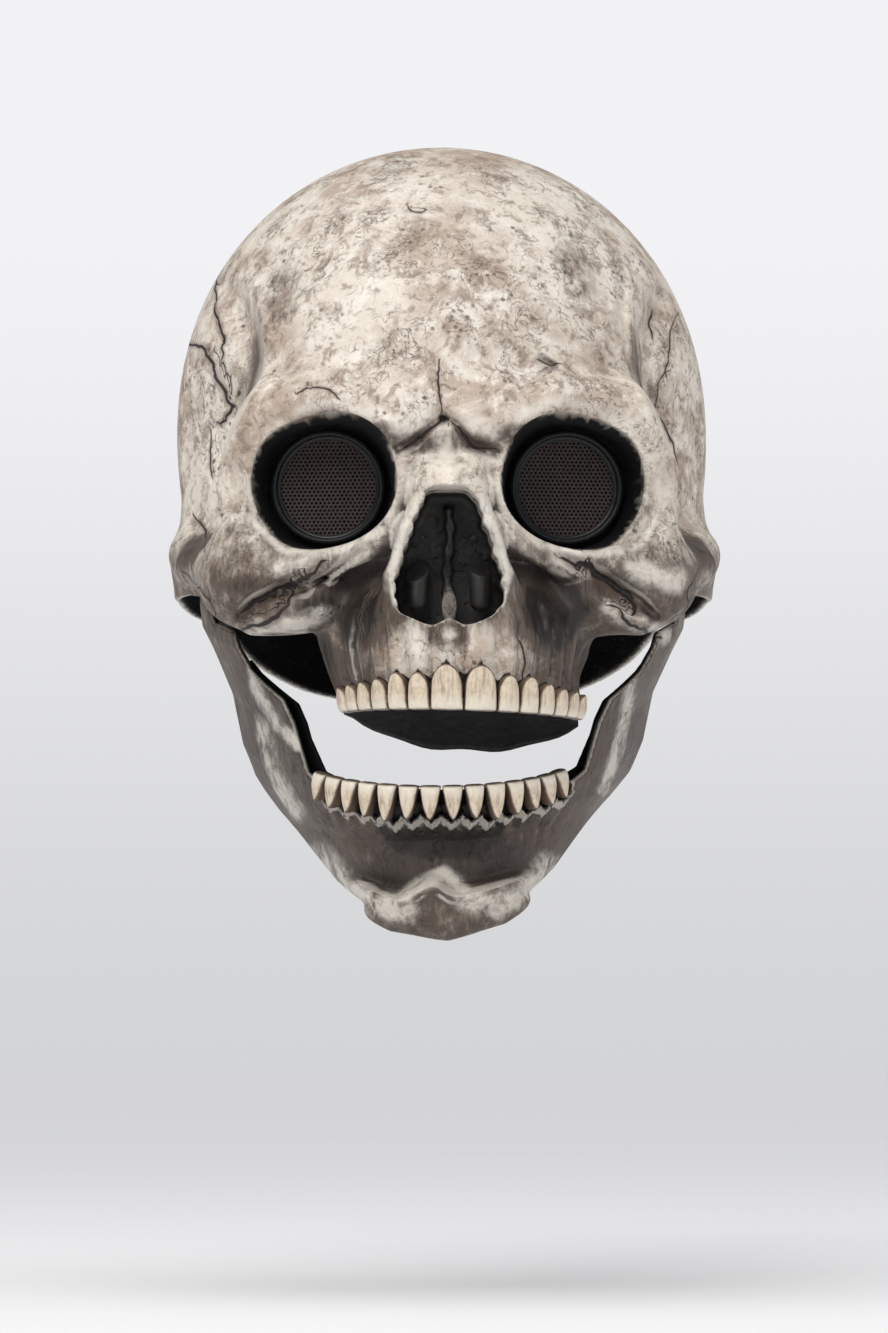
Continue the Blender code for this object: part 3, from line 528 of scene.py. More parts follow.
def nose_inside(p):
    """The upright septum, its pale spine and the scrolls at its sides."""
    z, y = p[:, 2], p[:, 1]
    sheet = np.abs(p[:, 0] - 0.6 * np.sin(z * 0.2)) - 1.3 - 0.35 * np.sin(z * 0.8)
    septum = both_of(sheet, np.abs(z + 161) - 21, 1)
    septum = both_of(septum, -(y + 101 + 0.06 * (z + 160)), 1.5)
    m = folded(p)
    scroll = ridge(m, ((9, -92, -150), (11, -94, -163), (11, -95, -174)), (2.2, 3.8, 3.4), 2)
    spine = ball(p, (0, -103, -176), (2.6, 7, 5.5))
    return blend_in(blend_in(septum, scroll, 2), spine, 2)


def rim_side(p):
    """Negative above the skull's lower edge."""
    return look_up(SKULL_RIM, "y", "z", p[:, 1]) - p[:, 2]


def hinge_distance(m):
    return np.hypot(m[:, 1] - HINGE_Y, m[:, 2] - HINGE_Z)


def skull_cast(p):
    """The skull's thin cast wall with its lined sockets and nose."""
    smooth, relief = skull_smooth(p), skull_relief(p)
    outer = smooth + temple_dent(folded(p))
    face = outer + relief
    well = blend_in(socket_well(p), nose_well(p), 1)
    lining = blend_in(socket_well(p, 2.6), nose_well(p, 2.6), 1)
    inside = smooth + relief + np.maximum(outer - smooth, temple_dent(folded(p), 9.0)) + WALL
    body = np.maximum(inside, -lining)
    f = both_of(np.maximum(face, -well), -body, 1)
    scroll = both_of(nose_inside(p), np.maximum(nose_well(p, 1.5), outer + 2), 0.5)
    f = blend_in(f, scroll, 1.5)
    f = carve(f, lens_hole(p), 0.5)
    f = both_of(f, rim_side(p), 1.5)
    m = folded(p)
    boss = both_of(hinge_distance(m) - 7.0, np.abs(m[:, 0] - 95.4) - 2.8, 0.6)
    f = blend_in(f, np.maximum(boss, outer + 1), 0.6)
    pin_hole = both_of(hinge_distance(m) - PIN_HOLE_RADIUS, np.abs(m[:, 0] - 91.6) - 5.0, 0.2)
    return carve(f, pin_hole, 0.3)


def chin_height(p):
    """Height of a point above the chin's crest in the front view."""
    crest = np.array(CHIN_CREST, np.float32)
    level = sum(np.interp(p[:, 0] + d, crest[:, 0], crest[:, 1]) for d in (-2.5, -1, 1, 2.5)) / 4
    return p[:, 2] - level.astype(np.float32)


def chin_relief(p):
    """Lifts the chin's crest and sinks the hollow above it."""
    up = chin_height(p)
    aside = np.abs(p[:, 0] + 3)
    crest = 1.9 * np.exp(-((up + 2.5) / 3.2) ** 2) * (1 - ease(22, 52, aside))
    hollow = 3.4 * ease(-2, 4, up) * (1 - ease(12, 30, up)) * (1 - ease(14, 40, aside))
    return (hollow - crest) * (1 - ease(-62, -40, p[:, 1]))


def jaw_place(c):
    """Degrees round the closed jaw from the middle of the face, and how far a point is outside its plan."""
    half = look_up(JAW_SECTIONS, "z", "half", c[:, 2])
    reach = look_up(JAW_SECTIONS, "z", "front", c[:, 2]) + JAW_CENTRE_Y
    angle = np.degrees(np.arctan2(c[:, 0] / half, -(c[:, 1] - JAW_CENTRE_Y) / reach))
    return angle, (np.hypot(c[:, 0] / half, (c[:, 1] - JAW_CENTRE_Y) / reach) - 1) * np.minimum(half, reach)


def jaw_outside(c):
    f = jaw_place(c)[1]
    m = folded(c)
    f = blend_in(f, ball(c, (0, -96, -264), (18, 12, 11)), 8)
    f = blend_in(f, ball(m, (19, -93, -264), (10, 9, 7)), 8)
    f = carve(f, ball(c, (0, -117, -243), (27, 12, 10)), 7)
    return f


def wall_edge(angle, height, points):
    """Signed distance to an outline drawn on the jaw's wall by angle and height."""
    return outline(angle * MM_PER_DEG, height, [(a * MM_PER_DEG, z) for a, z in points])


def jaw_relief(p, c):
    roots = root_relief(c, LOWER_ROW, LOWER_TEETH, 11, 32, 1.5)
    run, out, height, across, width, tall = row_place(c, LOWER_ROW, LOWER_TEETH)
    d = tooth_outline(across, width, height, tall + 1.2, ROOT_TAPER)
    inside = 1 - ease(0.98, 1.05, np.abs(run) / row_length(LOWER_TEETH))
    ditch = 2.4 * (1 - ease(0.2, 1.4, d)) * inside * (1 - ease(tall + 2.5, tall + 4, height))
    scallop = 0.9 * np.exp(-((d - 2.0) / 0.9) ** 2) * inside * ease(6, 9, height)
    return roots + ditch - scallop + chin_relief(p)


def jaw_face(p):
    """The jaw's outer form with its relief, in the open rest position."""
    c = closed(p)
    return jaw_outside(c) + jaw_relief(p, c)


def jaw_cast(p):
    """The jaw's thin cast wall, in the open rest position."""
    c = closed(p)
    outer = jaw_outside(c)
    angles, tops, bottoms = (JAW_EDGES[k] for k in ("angle", "top", "bottom"))
    edge = [(-60, tops[0]), *zip(angles, tops), *list(zip(angles, bottoms))[::-1], (-60, bottoms[0])]
    face = outer + jaw_relief(p, c)
    f = both_of(face, -(face + WALL), 1)
    f = both_of(f, wall_edge(np.abs(jaw_place(c)[0]), c[:, 2], edge) - 0.4, 2)
    m = folded(p)
    f = blend_in(f, both_of(hinge_distance(m) - 8.4, np.abs(m[:, 0] - 88.3) - 3.8, 0.6), 0.8)
    return carve(f, both_of(hinge_distance(m) - PIN_HOLE_RADIUS, np.abs(m[:, 0] - 88) - 9, 0.2), 0.3)


def jaw_lining(p):
    """The thin black lining inside the jaw."""
    c = closed(p)
    outer = jaw_outside(c)
    sheet = np.abs(outer + WALL + 1.1) - 0.8
    angle = jaw_place(c)[0]
    angle = np.abs(angle) - LINING_BACK_DEG * (angle > 0)
    return both_of(sheet, wall_edge(angle, c[:, 2], LINING_EDGE), 1)


def sampled(form, low, high, step):
    """The form's values on a grid, worked out finely only in blocks near its surface."""
    block = 8
    low = np.array(low, float)
    counts = np.ceil((np.array(high, float) - low) / (step * block)).astype(int)
    size = step * block
    index = np.stack(np.meshgrid(*[np.arange(n) for n in counts], indexing="ij"), -1).reshape(-1, 3)
    coarse = form((low + (index + 0.5) * size).astype(np.float32)).astype(np.float32)
    near = np.abs(coarse) < size * 1.3
    grid = coarse.reshape(counts)
    for axis in range(3):
        grid = np.repeat(grid, block, axis)
    inner = np.stack(np.meshgrid(*[np.arange(block)] * 3, indexing="ij"), -1).reshape(-1, 3)
    cells = (index[near][:, None, :] * block + inner[None]).reshape(-1, 3)
    points = (low + cells * step).astype(np.float32)
    values = np.concatenate([form(points[i:i + 300000]) for i in range(0, len(points), 300000)])
    grid[cells[:, 0], cells[:, 1], cells[:, 2]] = values
    return grid, low


def netted(grid, low, step):
    """Points and outward quads of the grid's zero surface."""
    inside = grid < 0
    corners = [(i, j, k) for i in (0, 1) for j in (0, 1) for k in (0, 1)]
    total = sum(inside[i:i - 1 or None, j:j - 1 or None, k:k - 1 or None].astype(np.int8)
                for i, j, k in corners)
    active = (total > 0) & (total < 8)
    cell = np.argwhere(active)
    number = np.full(active.shape, -1, np.int32)
    number[active] = np.arange(len(cell))
    at = {a: grid[cell[:, 0] + a[0], cell[:, 1] + a[1], cell[:, 2] + a[2]] for a in corners}
    summed, count = np.zeros((len(cell), 3)), np.zeros(len(cell))
    for a in corners:
        for axis in range(3):
            if a[axis]:
                continue
            b = tuple(1 if n == axis else a[n] for n in range(3))
            cross = (at[a] < 0) != (at[b] < 0)
            t = np.where(cross, at[a] / np.where(cross, at[a] - at[b], 1), 0)
            for n in range(3):
                summed[:, n] += np.where(cross, a[n] + (t if n == axis else 0), 0)
            count += cross
    points = low + (cell + summed / count[:, None]) * step
    quads = []
    for axis in range(3):
        u, v = (axis + 1) % 3, (axis + 2) % 3
        first = np.take(inside, range(inside.shape[axis] - 1), axis)
        edges = np.argwhere(first != np.take(inside, range(1, inside.shape[axis]), axis))
        edges = edges[(edges[:, u] > 0) & (edges[:, v] > 0)
                      & (edges[:, u] < number.shape[u]) & (edges[:, v] < number.shape[v])]
        leaving = first[edges[:, 0], edges[:, 1], edges[:, 2]]
        ring = []
        for du, dv in ((0, 0), (-1, 0), (-1, -1), (0, -1)):
            e = edges.copy()
            e[:, u] += du
            e[:, v] += dv
            ring.append(number[e[:, 0], e[:, 1], e[:, 2]])
        q = np.stack(ring, 1)
        q[~leaving] = q[~leaving][:, ::-1]
        quads.append(q)
    return points, np.concatenate(quads)


def slope(form, points, reach=0.3):
    """Which way and how fast the form rises at the points."""
    g = np.zeros_like(points)
    for n in range(3):
        d = np.zeros(3, np.float32)
        d[n] = reach
        g[:, n] = (form(points + d) - form(points - d)) / (2 * reach)
    return g


def settled(form, points, steps=2, limit=0.6):
    """The points moved onto the form's zero surface."""
    points = points.astype(np.float32)
    for _ in range(steps):
        g = slope(form, points)
        move = -(form(points) / np.maximum((g * g).sum(1), 1e-2))[:, None] * g
        far = np.linalg.norm(move, axis=1, keepdims=True)
        points = points + move * np.minimum(1, limit / np.maximum(far, 1e-6))
    return points


def unit(vectors):
    return vectors / np.maximum(np.linalg.norm(vectors, axis=1, keepdims=True), 1e-6)


def evened(points, quads, share=0.6):
    """Points drawn towards the mean of their neighbours."""
    a, b = quads.reshape(-1), np.roll(quads, -1, 1).reshape(-1)
    count = np.bincount(a, minlength=len(points)) + np.bincount(b, minlength=len(points))
    mean = np.stack([np.bincount(a, points[b, n], len(points)) + np.bincount(b, points[a, n], len(points))
                     for n in range(3)], 1) / np.maximum(count, 1)[:, None]
    return points + (mean - points) * share


def placed(name, data):
    """A new object of the scene."""
    made = bpy.data.objects.new(name, data)
    bpy.context.scene.collection.objects.link(made)
    return made


def mesh_object(name, verts, faces):
    mesh = bpy.data.meshes.new(name)
    mesh.from_pydata(verts, [], faces)
    return placed(name, mesh)


def mesh_of(name, form, low, high, step, keep):
    """A mesh of the form, thinned to about keep triangles."""
    grid, low = sampled(form, low, high, step)
    points, quads = netted(grid, low, step)
    for _ in range(2):
        points = settled(form, evened(points, quads), 1, step * 0.5)
    points = settled(form, points, 1, step * 0.3)
    made = mesh_object(name, (points * MM).tolist(), quads.tolist())
    if len(quads) * 2 > keep:
        thin = made.modifiers.new("thin", "DECIMATE")
        thin.ratio = keep / (len(quads) * 2)
        graph = bpy.context.evaluated_depsgraph_get()
        graph.update()
        thinned = bpy.data.meshes.new_from_object(made.evaluated_get(graph))
        made.modifiers.clear()
        made.data = thinned
    made.data.shade_smooth()
    normals = unit(slope(form, mesh_points(made)))
    made.data.normals_split_custom_set_from_vertices(normals.tolist())
    return made


def mesh_points(made):
    co = np.empty(len(made.data.vertices) * 3, np.float32)
    made.data.vertices.foreach_get("co", co)
    return co.reshape(-1, 3) / np.float32(MM)


def store(made, name, values):
    marks = made.data.attributes.new(name, "FLOAT", "POINT")
    marks.data.foreach_set("value", np.asarray(values, np.float32))


def occlusion(form, points, normals, reaches=(2.5, 6, 12)):
    """How much a point is closed in by the form around it, from 0 to about 1."""
    return sum(np.clip(1 - form(points + normals * d) / d, 0, 1) * w
               for d, w in zip(reaches, (0.3, 0.35, 0.35)))


def crack_marks(points, normals, cast_point):
    """Signed distance to the nearest crack over its half width, and how strongly it shows there."""
    rng = np.random.default_rng(11)
    best = np.full(len(points), 9.0, np.float32)
    signed = np.full(len(points), 9.0, np.float32)
    for half, jag, line in CRACKS:
        line = np.array(line, float)
        run = np.concatenate([[0], np.cumsum(np.linalg.norm(np.diff(line, axis=0), axis=1))])
        at = np.linspace(0, run[-1], max(int(run[-1] / 1.6), 3))
        fine = np.stack([np.interp(at, run, line[:, n]) for n in range(2)], 1)
        fine += rng.uniform(-0.5, 0.5, fine.shape) * jag
        path = cast_point(fine)
        middle = path.mean(0)
        reach = np.linalg.norm(path - middle, axis=1).max() + 6
        near = np.linalg.norm(points - middle, axis=1) < reach
        p, nrm = points[near], normals[near]
        d_best = np.full(len(p), 9.0)
        s_best = np.full(len(p), 9.0)
        for i in range(len(path) - 1):
            a, ab = path[i], path[i + 1] - path[i]
            t = np.clip(((p - a) @ ab) / max(ab @ ab, 1e-6), 0, 1)
            away = (p - a) - t[:, None] * ab
            d = np.linalg.norm(away, axis=1)
            side = np.einsum("ij,ij->i", away, np.cross(ab / max(np.linalg.norm(ab), 1e-6), nrm))
            share = min(max((i + 0.5) / (len(path) - 1), 0.08), 0.92)
            value = d / (half * (0.45 + 0.55 * math.sin(math.pi * share)))
            closer = value < d_best
            d_best = np.where(closer, value, d_best)
            s_best = np.where(closer, np.sign(side) * value, s_best)
        new = d_best < best[near]
        best[near] = np.where(new, d_best, best[near])
        signed[near] = np.where(new, s_best, signed[near])
    return signed, 1 - ease(4.5, 6.5, best)


def cast_from_view(form):
    """A function that casts points of the front view's plane onto the form."""
    def cast(flat):
        aside = flat[:, :1] * CHART_WIDTH / VIEW_FOCUS * np.array((1.0, 0, 0))
        way = unit(VIEW_AHEAD + aside + flat[:, 1:] / VIEW_FOCUS * VIEW_UP)
        far = np.full(len(way), VIEW_NEAR)
        for _ in range(60):
            far += np.clip(form((VIEW_FROM + way * far[:, None]).astype(np.float32)), -4, 12) * 0.8
            far = np.minimum(far, VIEW_FAR)
        return VIEW_FROM + way * far[:, None]
    return cast


def paint_marks(made, outside, cast_form, inner, gum):
    """Stores what the bone paint reads at each point of a cast piece."""
    p = mesh_points(made)
    normals = unit(slope(cast_form, p))
    # How closed in each point is; the bone paint turns it into a dark wash that also paints the shade
    # falling in the hollows
    store(made, "hollow_wash_and_shade", occlusion(cast_form, p, normals))
    steep = np.maximum(np.linalg.norm(slope(outside, p), axis=1), 0.3)
    here = outside(p)
    # How convex each point is; the bone paint turns it pale as dry-brushed wear with a painted highlight
    bulge = [np.clip(1 + (outside(p - normals * d) - here) / d / steep, 0, 1) / 2 for d in (3.5, 7)]
    store(made, "ridge", sum(bulge))
    signed, strength = crack_marks(p, normals, cast_from_view(outside))
    store(made, "crack", signed)
    store(made, "crack_on", strength)
    shade = look_up(LOWER_SHADE, "z", "shade", p[:, 2]) * (1 - 0.5 * ease(-20, 60, p[:, 1]))
    shade = shade * (0.15 + 0.85 * ease(0.6, 1.4, off_centre(p, *PALE_MIDDLE)))
    # Darker areas: painted shade in hollows and on slopes turned from the light, with darker paint and
    # stains
    for at, areas in ((p, SHADED), (folded(p), PAIRED_SHADED)):
        for centre, radii, amount in areas:
            shade = np.maximum(shade, amount * (1 - ease(0.45, 1.5, off_centre(at, centre, radii))))
    store(made, "shade", shade)
    # Pale wear and painted highlights along the charted lines, on the outer face only
    wear_and_highlight = np.zeros(len(p))
    u, v = in_view(p)
    for width, line in WEAR_AND_HIGHLIGHTS:
        near, close = drawn(u, v, width, line)
        wear_and_highlight[near] = np.maximum(wear_and_highlight[near], close)
    store(made, "wear_and_highlight", wear_and_highlight * (1 - ease(-30, -15, p[:, 1])) * (here > -1.0))
    store(made, "inner", inner(p))
    store(made, "gum", gum(p))


class Nodes:
    """A short way to lay out the nodes of a material or a world."""

    def __init__(self, owner):
        owner.use_nodes = True
        self.owner = owner
        self.tree = owner.node_tree
        self.coordinates = self.tree.nodes.new("ShaderNodeTexCoord")
        self.place = self.coordinates.outputs["Object"]

    def add(self, kind, **inputs):
        node = self.tree.nodes.new(kind)
        for name, value in inputs.items():
            self.put(node.inputs[name.replace("_", " ")], value)
        return node

    def put(self, socket, value):
        if isinstance(value, bpy.types.NodeSocket):
            self.tree.links.new(value, socket)
        else:
            socket.default_value = value

    def math(self, operation, a, b=0.5, c=0.0):
        node = self.tree.nodes.new("ShaderNodeMath")
        node.operation = operation
        for socket, value in zip(node.inputs, (a, b, c)):
            self.put(socket, value)
        return node.outputs[0]

    def times(self, a, b):
        return self.math("MULTIPLY", a, b)

    def plus(self, a, b):
        return self.math("ADD", a, b)

    def swing(self, value, size):
        """The value's swing about a half, size times as wide."""
        return self.times(self.math("SUBTRACT", value, 0.5), size)

    def span(self, value, low, high, start=0.0, end=1.0):
        """The value eased from start to end as it goes from low to high."""
        node = self.tree.nodes.new("ShaderNodeMapRange")
        node.interpolation_type = "SMOOTHSTEP"
        for socket, given in zip(node.inputs, (value, low, high, start, end)):
            self.put(socket, given)
        return node.outputs[0]

    def mark(self, name):
        node = self.tree.nodes.new("ShaderNodeAttribute")
        node.attribute_type = "GEOMETRY"
        node.attribute_name = name
        return node.outputs["Fac"]

    def noise(self, per_metre, detail=4.0, rough=0.6, bend=0.0):
        """Noise with so many blots a metre; three numbers give them a length along each axis."""
        place = self.place
        if isinstance(per_metre, tuple):
            place = self.add("ShaderNodeMapping", Scale=per_metre, Vector=place).outputs[0]
            per_metre = 1.0
        node = self.add("ShaderNodeTexNoise", Vector=place, Scale=per_metre, Detail=detail, Roughness=rough,
                        Distortion=bend)
        return node.outputs["Fac"]

    def mix(self, share, a, b, way="MIX"):
        node = self.tree.nodes.new("ShaderNodeMix")
        node.data_type = "RGBA"
        node.blend_type = way
        for socket, value in ((node.inputs[0], share), (node.inputs[6], a), (node.inputs[7], b)):
            self.put(socket, (*value, 1) if isinstance(value, tuple) and len(value) == 3 else value)
        return node.outputs[2]

    def finish(self, colour, rough, bump=None, strength=0.3, depth=0.001, **others):
        shader = self.tree.nodes["Principled BSDF"]
        self.put(shader.inputs["Base Color"], colour)
        self.put(shader.inputs["Roughness"], rough)
        for name, value in others.items():
            self.put(shader.inputs[name.replace("_", " ")], value)
        if bump is not None:
            node = self.add("ShaderNodeBump", Strength=strength, Distance=depth, Height=bump)
            self.put(shader.inputs["Normal"], node.outputs[0])
        return self.owner


def bone_paint(name):
    """Aged bone: cream with brown clouds, mottles, pits and hairlines, dark washes with painted shade in
    the hollows and on the lower face, pale wear with painted highlights on the ridges, black cracks and a
    black inside."""
    n = Nodes(bpy.data.materials.new(name))
    cloud = n.noise(17, 4, 0.6, 0.3)
    patch = n.noise(46, 7, 0.68, 0.7)
    mottle = n.noise(170, 7, 0.72, 0.5)
    grain = n.noise(620, 4, 0.7)
    colour = n.mix(n.span(cloud, 0.38, 0.62), (0.73, 0.655, 0.565), (0.46, 0.365, 0.29))
    colour = n.mix(n.span(patch, 0.46, 0.66, 0, 0.8), colour, (0.85, 0.79, 0.71))
    colour = n.mix(n.span(n.noise(70, 8, 0.75, 0.4), 0.50, 0.63, 0, 0.68), colour, (0.27, 0.20, 0.155))
    colour = n.mix(n.span(mottle, 0.52, 0.62, 0, 0.62), colour, (0.215, 0.15, 0.115))
    colour = n.mix(n.span(mottle, 0.47, 0.36, 0, 0.55), colour, (0.86, 0.81, 0.74))
    fold = n.math("SUBTRACT", n.noise(150, 6, 0.62, 0.9), 0.5)
    wrinkle = n.span(n.math("ABSOLUTE", fold), 0.020, 0.004)
    wrinkle = n.times(wrinkle, n.span(n.noise(65, 3, 0.6), 0.46, 0.60))
    colour = n.mix(n.times(wrinkle, 0.72), colour, (0.12, 0.08, 0.06))
    colour = n.mix(n.span(grain, 0.57, 0.70, 0, 0.4), colour, (0.17, 0.125, 0.095))
    pits = n.add("ShaderNodeTexVoronoi", Scale=260.0, Randomness=1.0, Vector=n.place)
    pit = n.times(n.span(pits.outputs["Distance"], 0.30, 0.12), n.span(n.noise(48, 3, 0.6), 0.50, 0.62))
    colour = n.mix(n.times(pit, 0.8), colour, (0.10, 0.07, 0.05))
    streaks = n.noise((330, 330, 55), 5.0, 0.68, 0.4)
    # Dark wash, partly the mask's own paint and partly painted shade, following the shade mark and broken
    # up by streaks
    shade = n.mark("shade")
    wash_and_shade = n.swing(streaks, 1.3)
    wash_and_shade = n.plus(wash_and_shade, n.swing(patch, 0.8))
    wash_and_shade = n.plus(n.times(shade, 1.2), n.times(wash_and_shade, n.span(shade, 0.0, 0.3)))
    colour = n.mix(n.span(wash_and_shade, 0.10, 0.9, 0, 0.94), colour, (0.062, 0.040, 0.028))
    colour = n.mix(n.span(wash_and_shade, 0.92, 1.4, 0, 0.93), colour, (0.008, 0.006, 0.005))
    # Darker in the hollows: the dark wash there with painted shade
    hollow_wash_and_shade = n.plus(n.mark("hollow_wash_and_shade"), n.swing(patch, 0.5))
    colour = n.mix(n.span(hollow_wash_and_shade, 0.28, 0.72, 0, 0.94), colour, (0.045, 0.034, 0.029))
    # Pale on the convex ridges: dry-brushed wear with a painted highlight
    wear_and_highlight = n.plus(n.mark("ridge"), n.swing(mottle, 0.45))
    colour = n.mix(n.span(wear_and_highlight, 0.26, 0.60, 0, 0.5), colour, (0.80, 0.745, 0.665))
    # Pale wear and painted highlights along the charted lines, broken up by mottles
    pale = n.plus(n.swing(mottle, 2.6), n.swing(patch, 2.4))
    pale = n.plus(n.times(n.mark("wear_and_highlight"), 0.9), n.times(pale, n.mark("wear_and_highlight")))
    colour = n.mix(n.span(pale, 0.25, 1.15, 0, 0.72), colour, (0.82, 0.765, 0.68))
    crack = n.math("ABSOLUTE", n.mark("crack"))
    wavy = n.plus(crack, n.swing(mottle, 1.5))
    line = n.times(n.span(wavy, 1.15, 0.45), n.mark("crack_on"))
    halo = n.times(n.span(wavy, 4.2, 1.0, 0, 0.5), n.mark("crack_on"))
    colour = n.mix(halo, colour, (0.15, 0.105, 0.08))
    colour = n.mix(line, colour, (0.016, 0.012, 0.011))
    gum = n.plus(n.mark("gum"), n.swing(mottle, 0.7))
    gum_line = n.span(gum, 1.6, 0.95)
    colour = n.mix(gum_line, colour, (0.012, 0.010, 0.010))
    colour = n.mix(n.mark("inner"), colour, (0.006, 0.006, 0.0065))
    rough = n.span(cloud, 0.3, 0.7, 0.50, 0.64)
    rough = n.math("SUBTRACT", rough, n.times(shade, 0.12))
    height = n.plus(n.times(mottle, 0.6), n.times(grain, 0.25))
    height = n.plus(height, n.times(streaks, n.times(shade, 0.8)))
    for dent, depth in ((wrinkle, 0.35), (pit, 0.8), (line, 2.4), (gum_line, 1.5)):
        height = n.math("SUBTRACT", height, n.times(dent, depth))
    return n.finish(colour, rough, height, 0.6, 0.0009, Specular_IOR_Level=0.42)


def tooth_paint(name):
    """Worn tooth: warm ivory, brown down its sides and near the gum."""
    n = Nodes(bpy.data.materials.new(name))
    mottle = n.noise(240, 5, 0.7, 0.5)
    streaks = n.noise((700, 700, 90), 4.0, 0.7)
    colour = n.mix(n.span(mottle, 0.4, 0.65), (0.70, 0.60, 0.465), (0.56, 0.45, 0.33))
    colour = n.mix(n.span(streaks, 0.48, 0.68, 0, 0.6), colour, (0.24, 0.165, 0.11))
    colour = n.mix(n.span(n.mark("tip"), 0.5, 0.05, 0, 0.75), colour, (0.82, 0.76, 0.65))
    edge = n.plus(n.mark("edge"), n.swing(mottle, 0.35))
    colour = n.mix(n.span(edge, 0.62, 1.0, 0, 0.95), colour, (0.10, 0.06, 0.04))
    colour = n.mix(n.mark("behind"), colour, (0.014, 0.013, 0.014))
    height = n.plus(n.times(mottle, 0.4), n.times(streaks, 0.5))
    rough = n.span(mottle, 0.3, 0.7, 0.38, 0.5)
    return n.finish(colour, rough, height, 0.3, 0.0005, Specular_IOR_Level=0.5)


def black_paint(name, colour, rough, per_metre, strength, gloss=0.3):
    n = Nodes(bpy.data.materials.new(name))
    grain = n.noise(per_metre, 5, 0.7)
    tone = n.mix(n.span(grain, 0.4, 0.7), colour, tuple(c * 1.7 for c in colour))
    return n.finish(tone, n.span(grain, 0.3, 0.7, rough, rough + 0.14), grain, strength, 0.0005,
                    Specular_IOR_Level=gloss)


def make_skull(bone):
    low, high = (-103, -124, -216), (103, 134, 6)
    skull = mesh_of("skull_cast", skull_cast, low, high, 1.25 * FINE, 175000)

    def inner(p):
        depth, socket, nose = skull_face(p), socket_well(p), nose_well(p)
        behind = ease(-1.2, -2.2, depth) * ease(0.9, 2.0, np.minimum(socket, nose))
        in_socket = (1 - ease(0.2, 0.9, socket)) * ease(-0.2, -1.4, depth)
        nose_wall = (1 - ease(0.2, 0.8, nose)) * ease(-0.8, -3.5, depth)
        in_nose = np.maximum(1 - ease(-1.5, -0.4, nose), nose_wall) * 0.95
        spine = 1 - ease(0.8, 1.6, off_centre(p, (0, -104, -177), (2.8, 9, 6)))
        in_nose = in_nose * (1 - 0.6 * spine)
        under = ease(-206.5, -208.5, p[:, 2]) * (p[:, 1] < -50)
        return np.clip(np.maximum(np.maximum(behind, in_socket), np.maximum(in_nose, under)), 0, 1)

    def gum(p):
        run, out, height, across, width, tall = row_place(p, UPPER_ROW, UPPER_TEETH)
        d = tooth_outline(across, width, height, tall, UPPER_TAPER)
        away = np.abs(run) > row_length(UPPER_TEETH) + 1.0
        return np.where(away | (height > 22) | (height < -6), 9, np.maximum(d, 0.0))

    paint_marks(skull, skull_face, skull_cast, inner, gum)
    skull.data.materials.append(bone)
    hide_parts("skull_shell")
    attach(skull, "skull")


def make_jaw(bone):
    jaw = mesh_of("jaw_cast", jaw_cast, (-95, -96, -298), (95, 32, -134), 1.0 * FINE, 130000)

    def inner(p):
        return ease(-0.6, -1.6, jaw_face(p))

    def gum(p):
        run, out, height, across, width, tall = row_place(closed(p), LOWER_ROW, LOWER_TEETH)
        d = tooth_outline(across, width, height, tall + 1.2, ROOT_TAPER)
        away = np.abs(run) > row_length(LOWER_TEETH) + 0.5
        return np.where(away | (height > 20), 9, np.maximum(d + 0.2, 0))

    paint_marks(jaw, jaw_face, jaw_cast, inner, gum)
    jaw.data.materials.append(bone)
    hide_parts("jaw_shell")
    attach(jaw, "jaw")


def make_lining(paint):
    lining = mesh_of("jaw_lining", jaw_lining, (-88, -94, -262), (88, 0, -176), 1.0 * FINE, 60000)
    lining.data.materials.append(paint)
    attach(lining, "jaw")


def make_teeth(name, form, low, high, row, table, narrow, body, paint, as_closed):
    """A row of teeth, with marks for its tips, its edges and its back."""
    teeth = mesh_of(name, form, low, high, 0.62 * FINE, 60000)
    p = as_closed(mesh_points(teeth))
    run, out, height, across, width, tall = row_place(p, row, table)
    store(teeth, "tip", np.clip(height / tall, -1, 2))
    shape = tooth_outline(across, width, height, tall, narrow)
    store(teeth, "edge", np.clip(1 + shape / 1.6, 0, 1.5))
    store(teeth, "behind", ease(0.0, -2.0, out))
    teeth.data.materials.append(paint)
    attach(teeth, body)


def make_lip(paint):
    """The black inner lip that sags behind and under the upper teeth."""
    rows, across = 13, 25
    count = rows * across
    verts, faces = [], []
    front, back = UPPER_ROW["y"] - UPPER_ROW["ry"] + 4.0, -63.0
    rx, ry = UPPER_ROW["rx"] - 1.0, UPPER_ROW["ry"] - 1.0
    for thick in (0.0, 1.6):
        for j in range(rows):
            t = j / (rows - 1)
            y = front + (back - front) * t
            wide = rx * math.sqrt(max(1 - ((y - UPPER_ROW["y"]) / ry) ** 2, 0.01))
            for i in range(across):
                u = -1 + 2 * i / (across - 1)
                sag = 11.5 * (1 - min(abs(u - 0.05), 1) ** 2.6) * t ** 1.3
                ripple = 0.5 * math.sin(u * 11 + 1.3) * t
                z = -208.5 - 4.5 * t - sag + ripple + thick + UPPER_ROW["slant"] * wide * u
                verts.append(((UPPER_ROW["x"] + wide * u) * MM, y * MM, z * MM))
    for j in range(rows - 1):
        for i in range(across - 1):
            a = j * across + i
            faces.append((a, a + 1, a + across + 1, a + across))
            faces.append(tuple(count + v for v in (a + across, a + across + 1, a + 1, a)))
    ring = list(range(across)) + [j * across + across - 1 for j in range(1, rows)]
    ring += [(rows - 1) * across + i for i in range(across - 2, -1, -1)]
    ring += [j * across for j in range(rows - 2, 0, -1)]
    for a, b in zip(ring, ring[1:] + ring[:1]):
        faces.append((b, a, count + a, count + b))
    lip = mesh_object("inner_lip", verts, faces)
    lip.data.shade_smooth()
    lip.data.materials.append(paint)
    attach(lip, "skull")
    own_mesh(lip)


